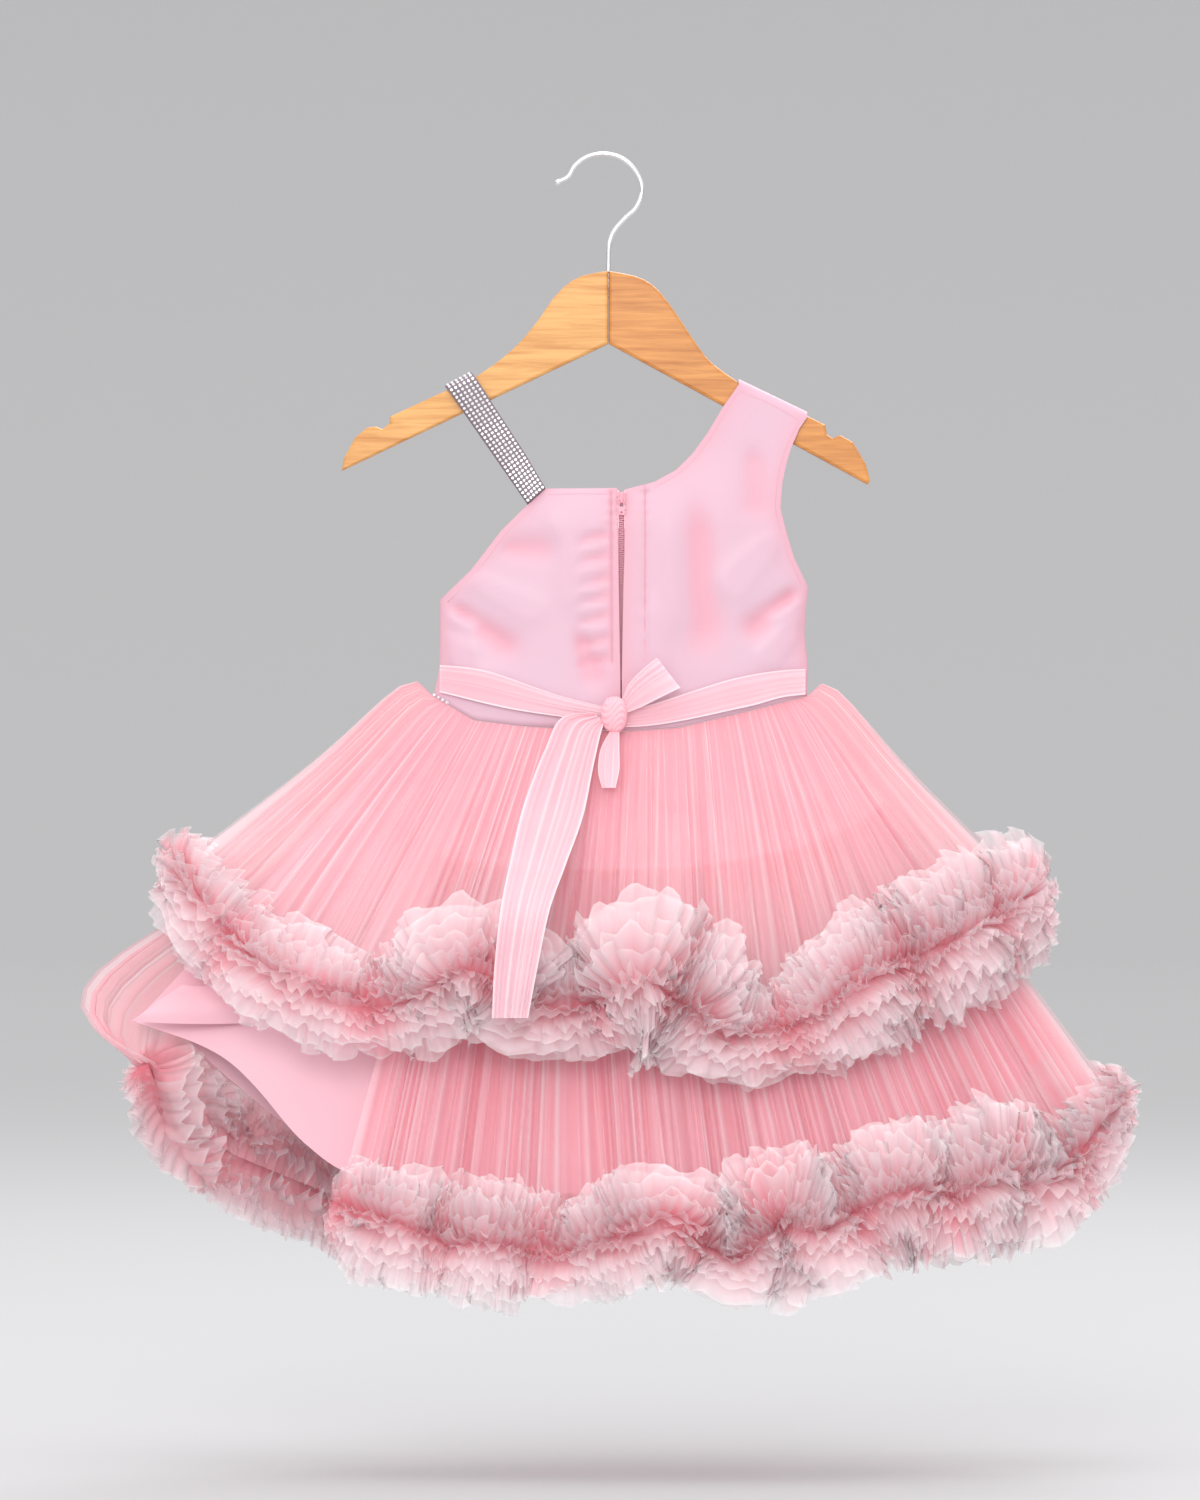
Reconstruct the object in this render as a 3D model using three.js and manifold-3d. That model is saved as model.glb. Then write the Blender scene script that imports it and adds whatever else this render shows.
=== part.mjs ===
// Toddler party dress on its wooden hanger, seen from the back with its zip.
// Millimetres, +Z up, +X to the right and +Y away from whoever looks at the zip side.
// The origin is the inner top of the hanger's hook, where a rail carries it.
import * as THREE from "three";
import { mergeVertices } from "three/addons/utils/BufferGeometryUtils.js";
import Module from "manifold-3d";

const wasm = await Module();
wasm.setup();

// Driving dimensions
const SEAM = 0.3;
const SATIN = 1.5;
const TULLE = 1.3;
const RIBBON = 1.2;
const HOOK_WIRE = 3;
const WOOD_THICK = 12;
const WOOD_ROUNDING = 2;
const BODICE_DEPTH = 14;
const SHOULDER_DEPTH = 8.2;
const SHOULDER_START = -250;
const SHOULDER_END = -190;
const RUFFLE_REACH = 30;
const RUFFLE_WAVE = 6;
const TIER_FOLD = 6;
const LOWER_TIER_START = 0.3;
const FOLDS = 14;
const STEPS_A_WAVE = 4;

// Side seams of the bodice: the left and right edge at each height
const SIDES = [
  { z: -360, left: -116.3, right: 132.7 },
  { z: -340, left: -112.3, right: 133.5 },
  { z: -318, left: -112, right: 131 },
  { z: -288, left: -112, right: 133.7 },
];

// The waist seam, which dips in the middle
const WAIST = [
  { x: -116.3, z: -360 },
  { x: -89, z: -376 },
  { x: -57, z: -380 },
  { x: 9, z: -383.5 },
  { x: 47, z: -381 },
  { x: 93, z: -370 },
  { x: 132.7, z: -360 },
];

const group = new THREE.Group();

const CLOTH = {
  satin: new THREE.MeshStandardMaterial({ color: 0xf4ccdc, roughness: 0.45 }),
  tulle: new THREE.MeshStandardMaterial({ color: 0xfbc9d4, roughness: 0.85 }),
  ruffle: new THREE.MeshStandardMaterial({ color: 0xfdd2dc, roughness: 0.9 }),
  lightWood: new THREE.MeshStandardMaterial({ color: 0xe0a055, roughness: 0.5 }),
  darkWood: new THREE.MeshStandardMaterial({ color: 0xd98f45, roughness: 0.5 }),
  wire: new THREE.MeshStandardMaterial({ color: 0xe4e6ea, roughness: 0.2, metalness: 1 }),
  stones: new THREE.MeshStandardMaterial({ color: 0xd9dbe2, roughness: 0.15, metalness: 0.8 }),
  zip: new THREE.MeshStandardMaterial({ color: 0xf0a9b8, roughness: 0.4 }),
};

function add(name, geometry, material) {
  const mesh = new THREE.Mesh(geometry, material);
  mesh.name = name;
  group.add(mesh);
  return mesh;
}

function lerp(a, b, share) {
  return a + (b - a) * share;
}

function clamp(value, low, high) {
  return Math.min(Math.max(value, low), high);
}

function smooth(share) {
  const s = clamp(share, 0, 1);
  return s * s * (3 - 2 * s);
}

// The value of one column of a table at a place in another column, along straight lines
function lookUp(table, by, at, column) {
  const rising = table[0][by] < table[table.length - 1][by];
  const rows = rising ? table : [...table].reverse();
  const inside = clamp(at, rows[0][by], rows[rows.length - 1][by]);
  const i = Math.max(1, rows.findIndex((row) => row[by] >= inside));
  const share = (inside - rows[i - 1][by]) / (rows[i][by] - rows[i - 1][by]);
  return lerp(rows[i - 1][column], rows[i][column], share);
}

// A closed body from two grids of points that have the same rows and columns
function wallBetween(outer, inner) {
  const rows = outer.length;
  const columns = outer[0].length;
  const points = [...outer.flat(), ...inner.flat()];
  const faces = [];
  const at = (side, i, j) => side * rows * columns + i * columns + j;
  const quad = (a, b, c, d) => faces.push(a, b, c, a, c, d);
  for (let i = 0; i < rows - 1; i += 1) {
    for (let j = 0; j < columns - 1; j += 1) {
      quad(at(0, i, j), at(0, i, j + 1), at(0, i + 1, j + 1), at(0, i + 1, j));
      quad(at(1, i, j), at(1, i + 1, j), at(1, i + 1, j + 1), at(1, i, j + 1));
    }
    quad(at(0, i, 0), at(0, i + 1, 0), at(1, i + 1, 0), at(1, i, 0));
    const last = columns - 1;
    quad(at(0, i, last), at(1, i, last), at(1, i + 1, last), at(0, i + 1, last));
  }
  for (let j = 0; j < columns - 1; j += 1) {
    quad(at(0, 0, j), at(1, 0, j), at(1, 0, j + 1), at(0, 0, j + 1));
    const last = rows - 1;
    quad(at(0, last, j), at(0, last, j + 1), at(1, last, j + 1), at(1, last, j));
  }
  return facingOut(points, faces);
}

// Turns every face round when the body would have a negative volume
function facingOut(points, faces) {
  let volume = 0;
  const normal = new THREE.Vector3();
  for (let k = 0; k < faces.length; k += 3) {
    const [a, b, c] = [points[faces[k]], points[faces[k + 1]], points[faces[k + 2]]];
    volume += normal.crossVectors(b, c).dot(a);
  }
  if (volume < 0) {
    faces.reverse();
  }
  const geometry = new THREE.BufferGeometry().setFromPoints(points);
  geometry.setIndex(faces);
  geometry.computeVertexNormals();
  return geometry;
}

// The grid moved along its own normals, away from a centre when the distance is positive
function movedOut(grid, distance, centre) {
  const rows = grid.length;
  const columns = grid[0].length;
  return grid.map((row, i) =>
    row.map((point, j) => {
      const up = grid[Math.min(i + 1, rows - 1)][j].clone().sub(grid[Math.max(i - 1, 0)][j]);
      const along = row[Math.min(j + 1, columns - 1)].clone().sub(row[Math.max(j - 1, 0)]);
      const normal = up.cross(along).normalize();
      if (normal.dot(point.clone().sub(centre(point))) < 0) {
        normal.negate();
      }
      return point.clone().addScaledVector(normal, distance);
    }),
  );
}

// A cloth wall whose outer face is the grid
function clothWall(grid, thickness, centre) {
  return wallBetween(grid, movedOut(grid, -thickness, centre));
}

// Cloth of one side of the garment faces away from its middle plane
function middlePlane(point) {
  return new THREE.Vector3(point.x * 0.9, 0, point.z);
}

function keepOnSide(grid, side) {
  grid.flat().forEach((point) => {
    point.y = side * Math.max(side * point.y, SEAM / 2);
  });
  return grid;
}

// The wall of a half layer, kept on its own side of the side seams
function halfWall(grid, thickness, side) {
  const outer = keepOnSide(grid, side);
  return wallBetween(outer, keepOnSide(movedOut(outer, -thickness, middlePlane), side));
}

function solidOf(geometry) {
  const bare = geometry.clone();
  bare.deleteAttribute("normal");
  bare.deleteAttribute("uv");
  const merged = mergeVertices(bare, 1e-3);
  return new wasm.Manifold(
    new wasm.Mesh({
      numProp: 3,
      vertProperties: new Float32Array(merged.attributes.position.array),
      triVerts: new Uint32Array(merged.index.array),
    }),
  );
}

function geometryOf(solid) {
  const mesh = solid.getMesh();
  const geometry = new THREE.BufferGeometry();
  geometry.setAttribute("position", new THREE.BufferAttribute(mesh.vertProperties, 3));
  geometry.setIndex(new THREE.BufferAttribute(mesh.triVerts, 1));
  geometry.computeVertexNormals();
  return geometry;
}

function cut(geometry, ...tools) {
  return geometryOf(tools.reduce((body, tool) => body.subtract(solidOf(tool)), solidOf(geometry)));
}

function join(...pieces) {
  return geometryOf(pieces.map(solidOf).reduce((body, piece) => body.add(piece)));
}

// A box between two corners
function block(low, high) {
  const size = high.map((value, axis) => value - low[axis]);
  const middle = high.map((value, axis) => (value + low[axis]) / 2);
  return new THREE.BoxGeometry(...size).translate(...middle);
}

// Hanger: two wooden arms glued at the middle, with a notch near each end, and a wire hook
const WOOD_JOINT_X = 0.4;
const WOOD_TOP = -76.8;
const WOOD_CROTCH = -125.4;
const HOOK_DEPTH = 18;
const ARM_ROOM = { reach: 200, bottom: -230 };
const TIP_BALL = 2.1;
const LEFT_ARM = {
  top: [
    { x: -19.3, z: -80.8 },
    { x: -34.1, z: -92.2 },
    { x: -46.5, z: -109.5 },
    { x: -58.8, z: -124.5 },
    { x: -73.6, z: -137.5 },
    { x: -88.4, z: -147.6 },
  ],
  end: [
    { x: -145.1, z: -173.8 },
    { x: -145.6, z: -178.4 },
    { x: -150.1, z: -182.2 },
    { x: -155, z: -180.4 },
    { x: -160.5, z: -181.2 },
    { x: -168.7, z: -188.2 },
    { x: -176, z: -201.8 },
    { x: -177.3, z: -210 },
  ],
};
const RIGHT_ARM = {
  top: [
    { x: 20, z: -80.8 },
    { x: 32.5, z: -88.6 },
    { x: 44.7, z: -104.2 },
    { x: 57.1, z: -122.8 },
    { x: 68.5, z: -137.6 },
    { x: 86.7, z: -150.8 },
  ],
  end: [
    { x: 144.7, z: -179.4 },
    { x: 145.9, z: -185.8 },
    { x: 149.6, z: -188.2 },
    { x: 154.5, z: -186.2 },
    { x: 163.1, z: -190.8 },
    { x: 171.8, z: -205.5 },
    { x: 174.7, z: -216.6 },
    { x: 173, z: -219.1 },
  ],
};
const HOOK_LINE = [
  { x: -33.3, z: -17.5 },
  { x: -26.3, z: -13.5 },
  { x: -21.8, z: -6.2 },
  { x: -14.5, z: -0.8 },
  { x: -3.3, z: 1.5 },
  { x: 9.3, z: -1.6 },
  { x: 18.9, z: -10.8 },
  { x: 22.7, z: -22.8 },
  { x: 18.9, z: -34.2 },
  { x: 11.3, z: -41.5 },
  { x: 4, z: -50.2 },
  { x: 1, z: -58.5 },
  { x: WOOD_JOINT_X, z: -72 },
];

function hangerArm(arm, side) {
  const inset = side * SEAM * 0.5;
  const shape = new THREE.Shape();
  shape.moveTo(WOOD_JOINT_X + inset, WOOD_CROTCH);
  shape.lineTo(WOOD_JOINT_X + inset, WOOD_TOP);
  shape.splineThru(arm.top.map((p) => new THREE.Vector2(p.x, p.z)));
  arm.end.forEach((p) => shape.lineTo(p.x, p.z));
  shape.closePath();
  const geometry = new THREE.ExtrudeGeometry(shape, {
    depth: WOOD_THICK - 2 * WOOD_ROUNDING,
    bevelSize: WOOD_ROUNDING,
    bevelOffset: -WOOD_ROUNDING,
    bevelThickness: WOOD_ROUNDING,
    bevelSegments: 2,
    curveSegments: 2,
  });
  geometry.rotateX(Math.PI / 2);
  geometry.translate(0, WOOD_THICK / 2 - WOOD_ROUNDING, 0);
  const boreRadius = HOOK_WIRE / 2 + SEAM;
  const bore = new THREE.CylinderGeometry(boreRadius, boreRadius, 2 * HOOK_DEPTH, 12);
  bore.rotateX(Math.PI / 2);
  bore.translate(WOOD_JOINT_X, 0, WOOD_TOP);
  const beyond = side * ARM_ROOM.reach;
  const room = block(
    [Math.min(WOOD_JOINT_X + inset, beyond), -WOOD_THICK, ARM_ROOM.bottom],
    [Math.max(WOOD_JOINT_X + inset, beyond), WOOD_THICK, 0],
  );
  return geometryOf(solidOf(cut(geometry, bore)).intersect(solidOf(room)));
}

function hangerHook() {
  const line = HOOK_LINE.map((p) => new THREE.Vector3(p.x, 0, p.z));
  line.push(new THREE.Vector3(WOOD_JOINT_X, 0, WOOD_TOP - HOOK_DEPTH + SEAM));
  const section = new THREE.Shape().absarc(0, 0, HOOK_WIRE / 2, 0, 2 * Math.PI);
  const tube = new THREE.ExtrudeGeometry(section, {
    extrudePath: new THREE.CatmullRomCurve3(line),
    steps: 30,
    curveSegments: 5,
  });
  const ball = new THREE.SphereGeometry(TIP_BALL, 8, 6).translate(line[0].x, 0, line[0].z);
  return join(tube, ball);
}

add("hanger_arm_left", hangerArm(LEFT_ARM, -1), CLOTH.lightWood);
add("hanger_arm_right", hangerArm(RIGHT_ARM, 1), CLOTH.darkWood);
add("hanger_hook", hangerHook(), CLOTH.wire);

// Bodice: the outer face is half an ellipse between the side seams, and it steps in to the hanger
// above the armholes
function bodiceReach(x, z) {
  const left = lookUp(SIDES, "z", z, "left");
  const right = lookUp(SIDES, "z", z, "right");
  const across = clamp((2 * x - left - right) / (right - left), -1, 1);
  const round = SEAM / 2 + BODICE_DEPTH * Math.sqrt(1 - across * across);
  const high = smooth((z - SHOULDER_START) / (SHOULDER_END - SHOULDER_START));
  return lerp(round, SHOULDER_DEPTH, high);
}

function waistZ(x) {
  return lookUp(WAIST, "x", x, "z");
}

// The last rows of a shoulder go over the hanger's arm to the shoulder seam
const OVER_ARM = [
  { reach: 7.4, rise: 1.8 },
  { reach: 4.6, rise: 3.4 },
  { reach: SEAM / 2, rise: 4 },
];

// A bodice panel from a row for each section: its left and right edge, from the waist up.
// side is -1 for the back and 1 for the front.
function bodicePanel(rows, columns, side, atShoulder) {
  const grid = rows.map((row, i) => {
    const points = [];
    for (let j = 0; j <= columns; j += 1) {
      const share = (1 - Math.cos((Math.PI * j) / columns)) / 2;
      const x = lerp(row.leftX, row.rightX, share);
      const straight = lerp(row.leftZ, row.rightZ, share);
      const z = i === 0 ? waistZ(x) : straight;
      points.push(new THREE.Vector3(x, side * bodiceReach(x, z), z));
    }
    return points;
  });
  if (atShoulder) {
    const top = grid[grid.length - 1];
    OVER_ARM.forEach((step) => {
      grid.push(top.map((p) => new THREE.Vector3(p.x, side * step.reach, p.z + step.rise)));
    });
  }
  return halfWall(grid, SATIN, side);
}

const BACK_LEFT = [
  { leftX: -116.3, leftZ: -360, rightX: 8.4, rightZ: -383.5 },
  { leftX: -112.3, leftZ: -340, rightX: 8.3, rightZ: -352 },
  { leftX: -112, leftZ: -318, rightX: 7.8, rightZ: -325 },
  { leftX: -112, leftZ: -296, rightX: 7.4, rightZ: -300 },
  { leftX: -91.5, leftZ: -276.5, rightX: 7, rightZ: -275 },
  { leftX: -71, leftZ: -250, rightX: 6.5, rightZ: -250 },
  { leftX: -53.5, leftZ: -232.8, rightX: 6, rightZ: -235 },
  { leftX: -41.4, leftZ: -222, rightX: 6, rightZ: -221.6 },
];
const BACK_RIGHT = [
  { leftX: 9, leftZ: -383.5, rightX: 132.7, rightZ: -360 },
  { leftX: 9.2, leftZ: -352, rightX: 133.5, rightZ: -343 },
  { leftX: 9.6, leftZ: -325, rightX: 131, rightZ: -318 },
  { leftX: 10.2, leftZ: -290, rightX: 132, rightZ: -300 },
  { leftX: 11, leftZ: -262, rightX: 133.7, rightZ: -288 },
  { leftX: 11.6, leftZ: -240, rightX: 124, rightZ: -268 },
  { leftX: 12, leftZ: -222.5, rightX: 118.5, rightZ: -250 },
  { leftX: 31, leftZ: -217.5, rightX: 114.8, rightZ: -235 },
  { leftX: 45.5, leftZ: -209.5, rightX: 116, rightZ: -219 },
  { leftX: 56, leftZ: -199, rightX: 118.6, rightZ: -206 },
  { leftX: 66.5, leftZ: -184.5, rightX: 122, rightZ: -194.8 },
  { leftX: 77, leftZ: -167, rightX: 127.5, rightZ: -182 },
  { leftX: 87.2, leftZ: -152.6, rightX: 132.7, rightZ: -174.4 },
];
const FRONT = [
  { leftX: -116.3, leftZ: -360, rightX: 132.7, rightZ: -360 },
  { leftX: -112.3, leftZ: -340, rightX: 133.5, rightZ: -340 },
  { leftX: -112, leftZ: -318, rightX: 131, rightZ: -318 },
  { leftX: -112, leftZ: -296, rightX: 132, rightZ: -300 },
  { leftX: -91.5, leftZ: -276.5, rightX: 133.7, rightZ: -288 },
  { leftX: -71, leftZ: -250, rightX: 124, rightZ: -268 },
  { leftX: -53.5, leftZ: -233.2, rightX: 118.5, rightZ: -250 },
  { leftX: -42, leftZ: -224.5, rightX: 116, rightZ: -240 },
  { leftX: 2, leftZ: -226, rightX: 114.8, rightZ: -231 },
  { leftX: 28, leftZ: -223, rightX: 115.4, rightZ: -223 },
  { leftX: 47, leftZ: -213, rightX: 116.6, rightZ: -214 },
  { leftX: 58, leftZ: -202, rightX: 118.6, rightZ: -205 },
  { leftX: 68.5, leftZ: -187, rightX: 122, rightZ: -194.8 },
  { leftX: 78.5, leftZ: -169, rightX: 127.5, rightZ: -182 },
  { leftX: 88, leftZ: -153, rightX: 132.7, rightZ: -174.4 },
];
add("bodice_back_left", bodicePanel(BACK_LEFT, 9, -1, false), CLOTH.satin);
add("bodice_back_right", bodicePanel(BACK_RIGHT, 8, -1, true), CLOTH.satin);
add("bodice_front", bodicePanel(FRONT, 12, 1, true), CLOTH.satin);

// Strap of stones from the top of the back, over the left arm, to the top of the front
const STRAP = [
  { leftX: -53.6, leftZ: -232.2, rightX: -41.7, rightZ: -221.4, reach: 12.6 },
  { leftX: -70, leftZ: -208.6, rightX: -55.6, rightZ: -198, reach: 10.8 },
  { leftX: -88, leftZ: -182.8, rightX: -72, rightZ: -172.8, reach: 9.2 },
  { leftX: -104.6, leftZ: -159, rightX: -87, rightZ: -149.6, reach: 8.2 },
  { leftX: -106.4, leftZ: -156.6, rightX: -88.8, rightZ: -147.2, reach: 8 },
  { leftX: -107.8, leftZ: -154.6, rightX: -90.2, rightZ: -145.2, reach: 5 },
  { leftX: -108.6, leftZ: -153.8, rightX: -91, rightZ: -144.4, reach: 0 },
];
const STRAP_COLUMNS = 2;
const STRAP_CENTRE_DROP = 3;

function strapGrid() {
  const half = STRAP.map((row) => {
    const points = [];
    for (let j = 0; j <= STRAP_COLUMNS; j += 1) {
      const share = j / STRAP_COLUMNS;
      const x = lerp(row.leftX, row.rightX, share);
      points.push(new THREE.Vector3(x, -row.reach, lerp(row.leftZ, row.rightZ, share)));
    }
    return points;
  });
  half[0].forEach((p) => {
    p.y = -bodiceReach(p.x, p.z);
  });
  const over = half.slice(0, -1).map((row) => row.map((p) => new THREE.Vector3(p.x, -p.y, p.z)));
  return [...half, ...over.reverse()];
}

function underStrap(point) {
  return new THREE.Vector3(point.x, 0, point.z - STRAP_CENTRE_DROP);
}

add("stone_strap", clothWall(strapGrid(), SATIN, underStrap), CLOTH.stones);

// Skirt: each layer hangs from a ring under the waist seam to its own hem line.
// reach is how far the hem stands out from the garment's middle plane, and ruffle is how far its
// ruffle stands up and down from the line.
const UPPER_BACK_HEM = [
  { x: -281, reach: 0.15, z: -468, ruffle: 38 },
  { x: -262, reach: 30, z: -505, ruffle: 38 },
  { x: -222, reach: 56, z: -540, ruffle: 38 },
  { x: -160, reach: 78, z: -563, ruffle: 37 },
  { x: -120, reach: 85, z: -556, ruffle: 39 },
  { x: -96, reach: 97, z: -540, ruffle: 48 },
  { x: -70, reach: 96, z: -548, ruffle: 48 },
  { x: -54, reach: 88, z: -564, ruffle: 36 },
  { x: -12, reach: 90, z: -561, ruffle: 41 },
  { x: 21, reach: 102, z: -546, ruffle: 58 },
  { x: 52, reach: 92, z: -559, ruffle: 54 },
  { x: 76, reach: 85, z: -580, ruffle: 38 },
  { x: 110, reach: 81, z: -582, ruffle: 37 },
  { x: 143, reach: 76, z: -566, ruffle: 43 },
  { x: 170, reach: 70, z: -547, ruffle: 50 },
  { x: 206, reach: 58, z: -532, ruffle: 52 },
  { x: 245, reach: 38, z: -510, ruffle: 52 },
  { x: 281, reach: 0.15, z: -490, ruffle: 44 },
];
const UPPER_FRONT_HEM = [
  { x: -281, reach: 0.15, z: -468, ruffle: 38 },
  { x: -256, reach: 32, z: -508, ruffle: 38 },
  { x: -205, reach: 58, z: -540, ruffle: 38 },
  { x: -150, reach: 76, z: -556, ruffle: 38 },
  { x: -95, reach: 92, z: -538, ruffle: 44 },
  { x: -45, reach: 86, z: -566, ruffle: 38 },
  { x: 10, reach: 100, z: -543, ruffle: 44 },
  { x: 60, reach: 86, z: -570, ruffle: 38 },
  { x: 115, reach: 88, z: -552, ruffle: 42 },
  { x: 165, reach: 72, z: -560, ruffle: 38 },
  { x: 215, reach: 56, z: -538, ruffle: 40 },
  { x: 254, reach: 34, z: -512, ruffle: 42 },
  { x: 281, reach: 0.15, z: -490, ruffle: 44 },
];
const LINING_BACK_HEM = [
  { x: -315, reach: 0.15, z: -577 },
  { x: -253, reach: 16, z: -603 },
  { x: -202, reach: 32, z: -656 },
  { x: -172, reach: 42, z: -676 },
  { x: -100, reach: 56, z: -688 },
  { x: 0, reach: 64, z: -688 },
  { x: 100, reach: 60, z: -688 },
  { x: 200, reach: 44, z: -668 },
  { x: 258, reach: 24, z: -632 },
  { x: 297, reach: 0.15, z: -592 },
];
const LINING_FRONT_HEM = [
  { x: -300, reach: 0.15, z: -570 },
  { x: -252, reach: 16, z: -618 },
  { x: -200, reach: 30, z: -656 },
  { x: -100, reach: 54, z: -686 },
  { x: 0, reach: 62, z: -686 },
  { x: 100, reach: 58, z: -686 },
  { x: 200, reach: 42, z: -668 },
  { x: 258, reach: 24, z: -632 },
  { x: 297, reach: 0.15, z: -592 },
];
const LOWER_BACK_HEM = [
  { x: -178, reach: 74, z: -694, ruffle: 34 },
  { x: -140, reach: 86, z: -708, ruffle: 42 },
  { x: -102, reach: 92, z: -716, ruffle: 43 },
  { x: -55, reach: 95, z: -721, ruffle: 41 },
  { x: -29, reach: 96, z: -726, ruffle: 34 },
  { x: 6, reach: 97, z: -716, ruffle: 42 },
  { x: 38, reach: 106, z: -705, ruffle: 40 },
  { x: 63, reach: 98, z: -717, ruffle: 42 },
  { x: 83, reach: 95, z: -729, ruffle: 34 },
  { x: 113, reach: 100, z: -706, ruffle: 60 },
  { x: 141, reach: 98, z: -711, ruffle: 46 },
  { x: 187, reach: 86, z: -688, ruffle: 50 },
  { x: 221, reach: 76, z: -689, ruffle: 48 },
  { x: 255, reach: 60, z: -677, ruffle: 54 },
  { x: 285, reach: 42, z: -681, ruffle: 46 },
  { x: 312, reach: 24, z: -662, ruffle: 40 },
  { x: 334, reach: 0.15, z: -622, ruffle: 36 },
];
const LOWER_FRONT_HEM = [
  { x: -305, reach: 0.15, z: -604, ruffle: 30 },
  { x: -280, reach: 28, z: -650, ruffle: 36 },
  { x: -220, reach: 54, z: -682, ruffle: 38 },
  { x: -150, reach: 74, z: -704, ruffle: 40 },
  { x: -90, reach: 92, z: -694, ruffle: 44 },
  { x: -30, reach: 88, z: -714, ruffle: 40 },
  { x: 30, reach: 100, z: -694, ruffle: 44 },
  { x: 90, reach: 88, z: -715, ruffle: 40 },
  { x: 150, reach: 86, z: -694, ruffle: 44 },
  { x: 210, reach: 70, z: -704, ruffle: 40 },
  { x: 268, reach: 48, z: -684, ruffle: 42 },
  { x: 311, reach: 26, z: -656, ruffle: 40 },
  { x: 334, reach: 0.15, z: -622, ruffle: 36 },
];

// How the layers hang: gaps between them, the rows of each layer from its top to its hem, and
// folds that grow deeper from top to hem
const LAYER_GAP = SEAM + TULLE;
const LINING_INSET = LAYER_GAP + 0.8;
const LOWER_TIER_GAP = LAYER_GAP + 2.2;
const TIER_ROWS = [0, 0.18, 0.55, 1];
const UPPER_SWELL = 7;
const LOWER_SWELL = 4;
const LINING_ROWS = [0, 0.25, 0.6, 1];
const LINING_FOLDS = 7;
const LINING_FOLD = 3;
const LOWER_BACK_FROM = 0.24;

// The front's lower tier puffs out at the left, over a share of its length
const POUF_SHARE = 0.16;
const POUF_WIDTH = 110;

// The skirt's outward direction at a point is that of a flat ellipse round the middle
const FLARE = { wide: 900, deep: 80 };

function outwardAt(point) {
  return new THREE.Vector3(point.x / FLARE.wide, point.y / FLARE.deep, 0).normalize();
}

// A smooth line through a hem's rows on one side, evenly divided by its length
function hemLine(rows, side) {
  const points = rows.map((row) => new THREE.Vector3(row.x, side * row.reach, row.z));
  return new THREE.CatmullRomCurve3(points, false, "centripetal");
}

// The ring that a layer hangs from, inset from the bodice's outer face
function waistRing(along, side, inset) {
  const angle = Math.PI * (along - 0.5);
  const left = SIDES[0].left + inset;
  const right = SIDES[0].right - inset;
  const x = (left + right) / 2 + ((right - left) / 2) * Math.sin(angle);
  const y = SEAM / 2 + (BODICE_DEPTH - inset) * Math.cos(angle);
  return new THREE.Vector3(x, side * y, waistZ(x) - SEAM);
}

// Points of a layer: along runs from the left side seam to the right one, down from top to hem
function layerPoint(layer, along, down) {
  const top = layer.top(along);
  const point = top.lerp(layer.hem.getPointAt(along), down);
  const swell = layer.swell * Math.sin(Math.PI * down);
  const outward = outwardAt(point);
  point.addScaledVector(outward, swell);
  point.x -= (layer.pouf ?? 0) * Math.sin(Math.PI * down ** 2) * smooth(1 - along / POUF_SHARE);
  const gather = layer.fold * down * (0.5 - 0.5 * Math.cos(2 * Math.PI * layer.folds * along));
  point.addScaledVector(outward, -gather);
  point.y = layer.side * Math.max(layer.side * point.y, SEAM / 2);
  return point;
}

function layerGrid(layer) {
  const columns = layer.folds * STEPS_A_WAVE;
  return layer.rows.map((down) =>
    Array.from({ length: columns + 1 }, (_, j) => layerPoint(layer, j / columns, down)),
  );
}

function lining(side, rows) {
  return {
    side,
    top: (along) => waistRing(along, side, LINING_INSET),
    hem: hemLine(rows, side),
    rows: LINING_ROWS,
    folds: LINING_FOLDS,
    fold: LINING_FOLD,
    swell: 0,
  };
}

function upperTier(side, rows) {
  return {
    side,
    top: (along) => waistRing(along, side, 0),
    hem: hemLine(rows, side),
    rows: TIER_ROWS,
    folds: FOLDS,
    fold: TIER_FOLD,
    swell: UPPER_SWELL,
  };
}

// A lower tier is gathered onto the lining, from a share of the way along it
function lowerTier(side, rows, under, from, pouf) {
  const onLining = (along) => {
    const p = layerPoint({ ...under, fold: 0 }, lerp(from, 1, along), LOWER_TIER_START);
    return p.addScaledVector(outwardAt(p), LOWER_TIER_GAP);
  };
  return {
    side,
    top: onLining,
    hem: hemLine(rows, side),
    rows: TIER_ROWS,
    folds: FOLDS,
    fold: TIER_FOLD,
    swell: LOWER_SWELL,
    pouf,
  };
}

const LAYERS = {
  lining_back: lining(-1, LINING_BACK_HEM),
  lining_front: lining(1, LINING_FRONT_HEM),
  upper_tier_back: upperTier(-1, UPPER_BACK_HEM),
  upper_tier_front: upperTier(1, UPPER_FRONT_HEM),
};
LAYERS.lower_tier_back = lowerTier(
  -1,
  LOWER_BACK_HEM,
  LAYERS.lining_back,
  LOWER_BACK_FROM,
  0,
);
LAYERS.lower_tier_front = lowerTier(1, LOWER_FRONT_HEM, LAYERS.lining_front, 0, POUF_WIDTH);

for (const [name, layer] of Object.entries(LAYERS)) {
  const material = name.startsWith("lining") ? CLOTH.satin : CLOTH.tulle;
  add(name, halfWall(layerGrid(layer), TULLE, layer.side), material);
}

// Ruffles: a pleated strip sewn along its middle to the hem, its two edges standing out
const RUFFLE_SECTION = [
  { reach: 0.8, height: 1, wave: 1 },
  { reach: 0.55, height: 0.42, wave: 0.45 },
  { reach: 0, height: 0, wave: 0 },
  { reach: 0.55, height: -0.42, wave: 0.45 },
  { reach: 0.8, height: -1, wave: 1 },
];

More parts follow.
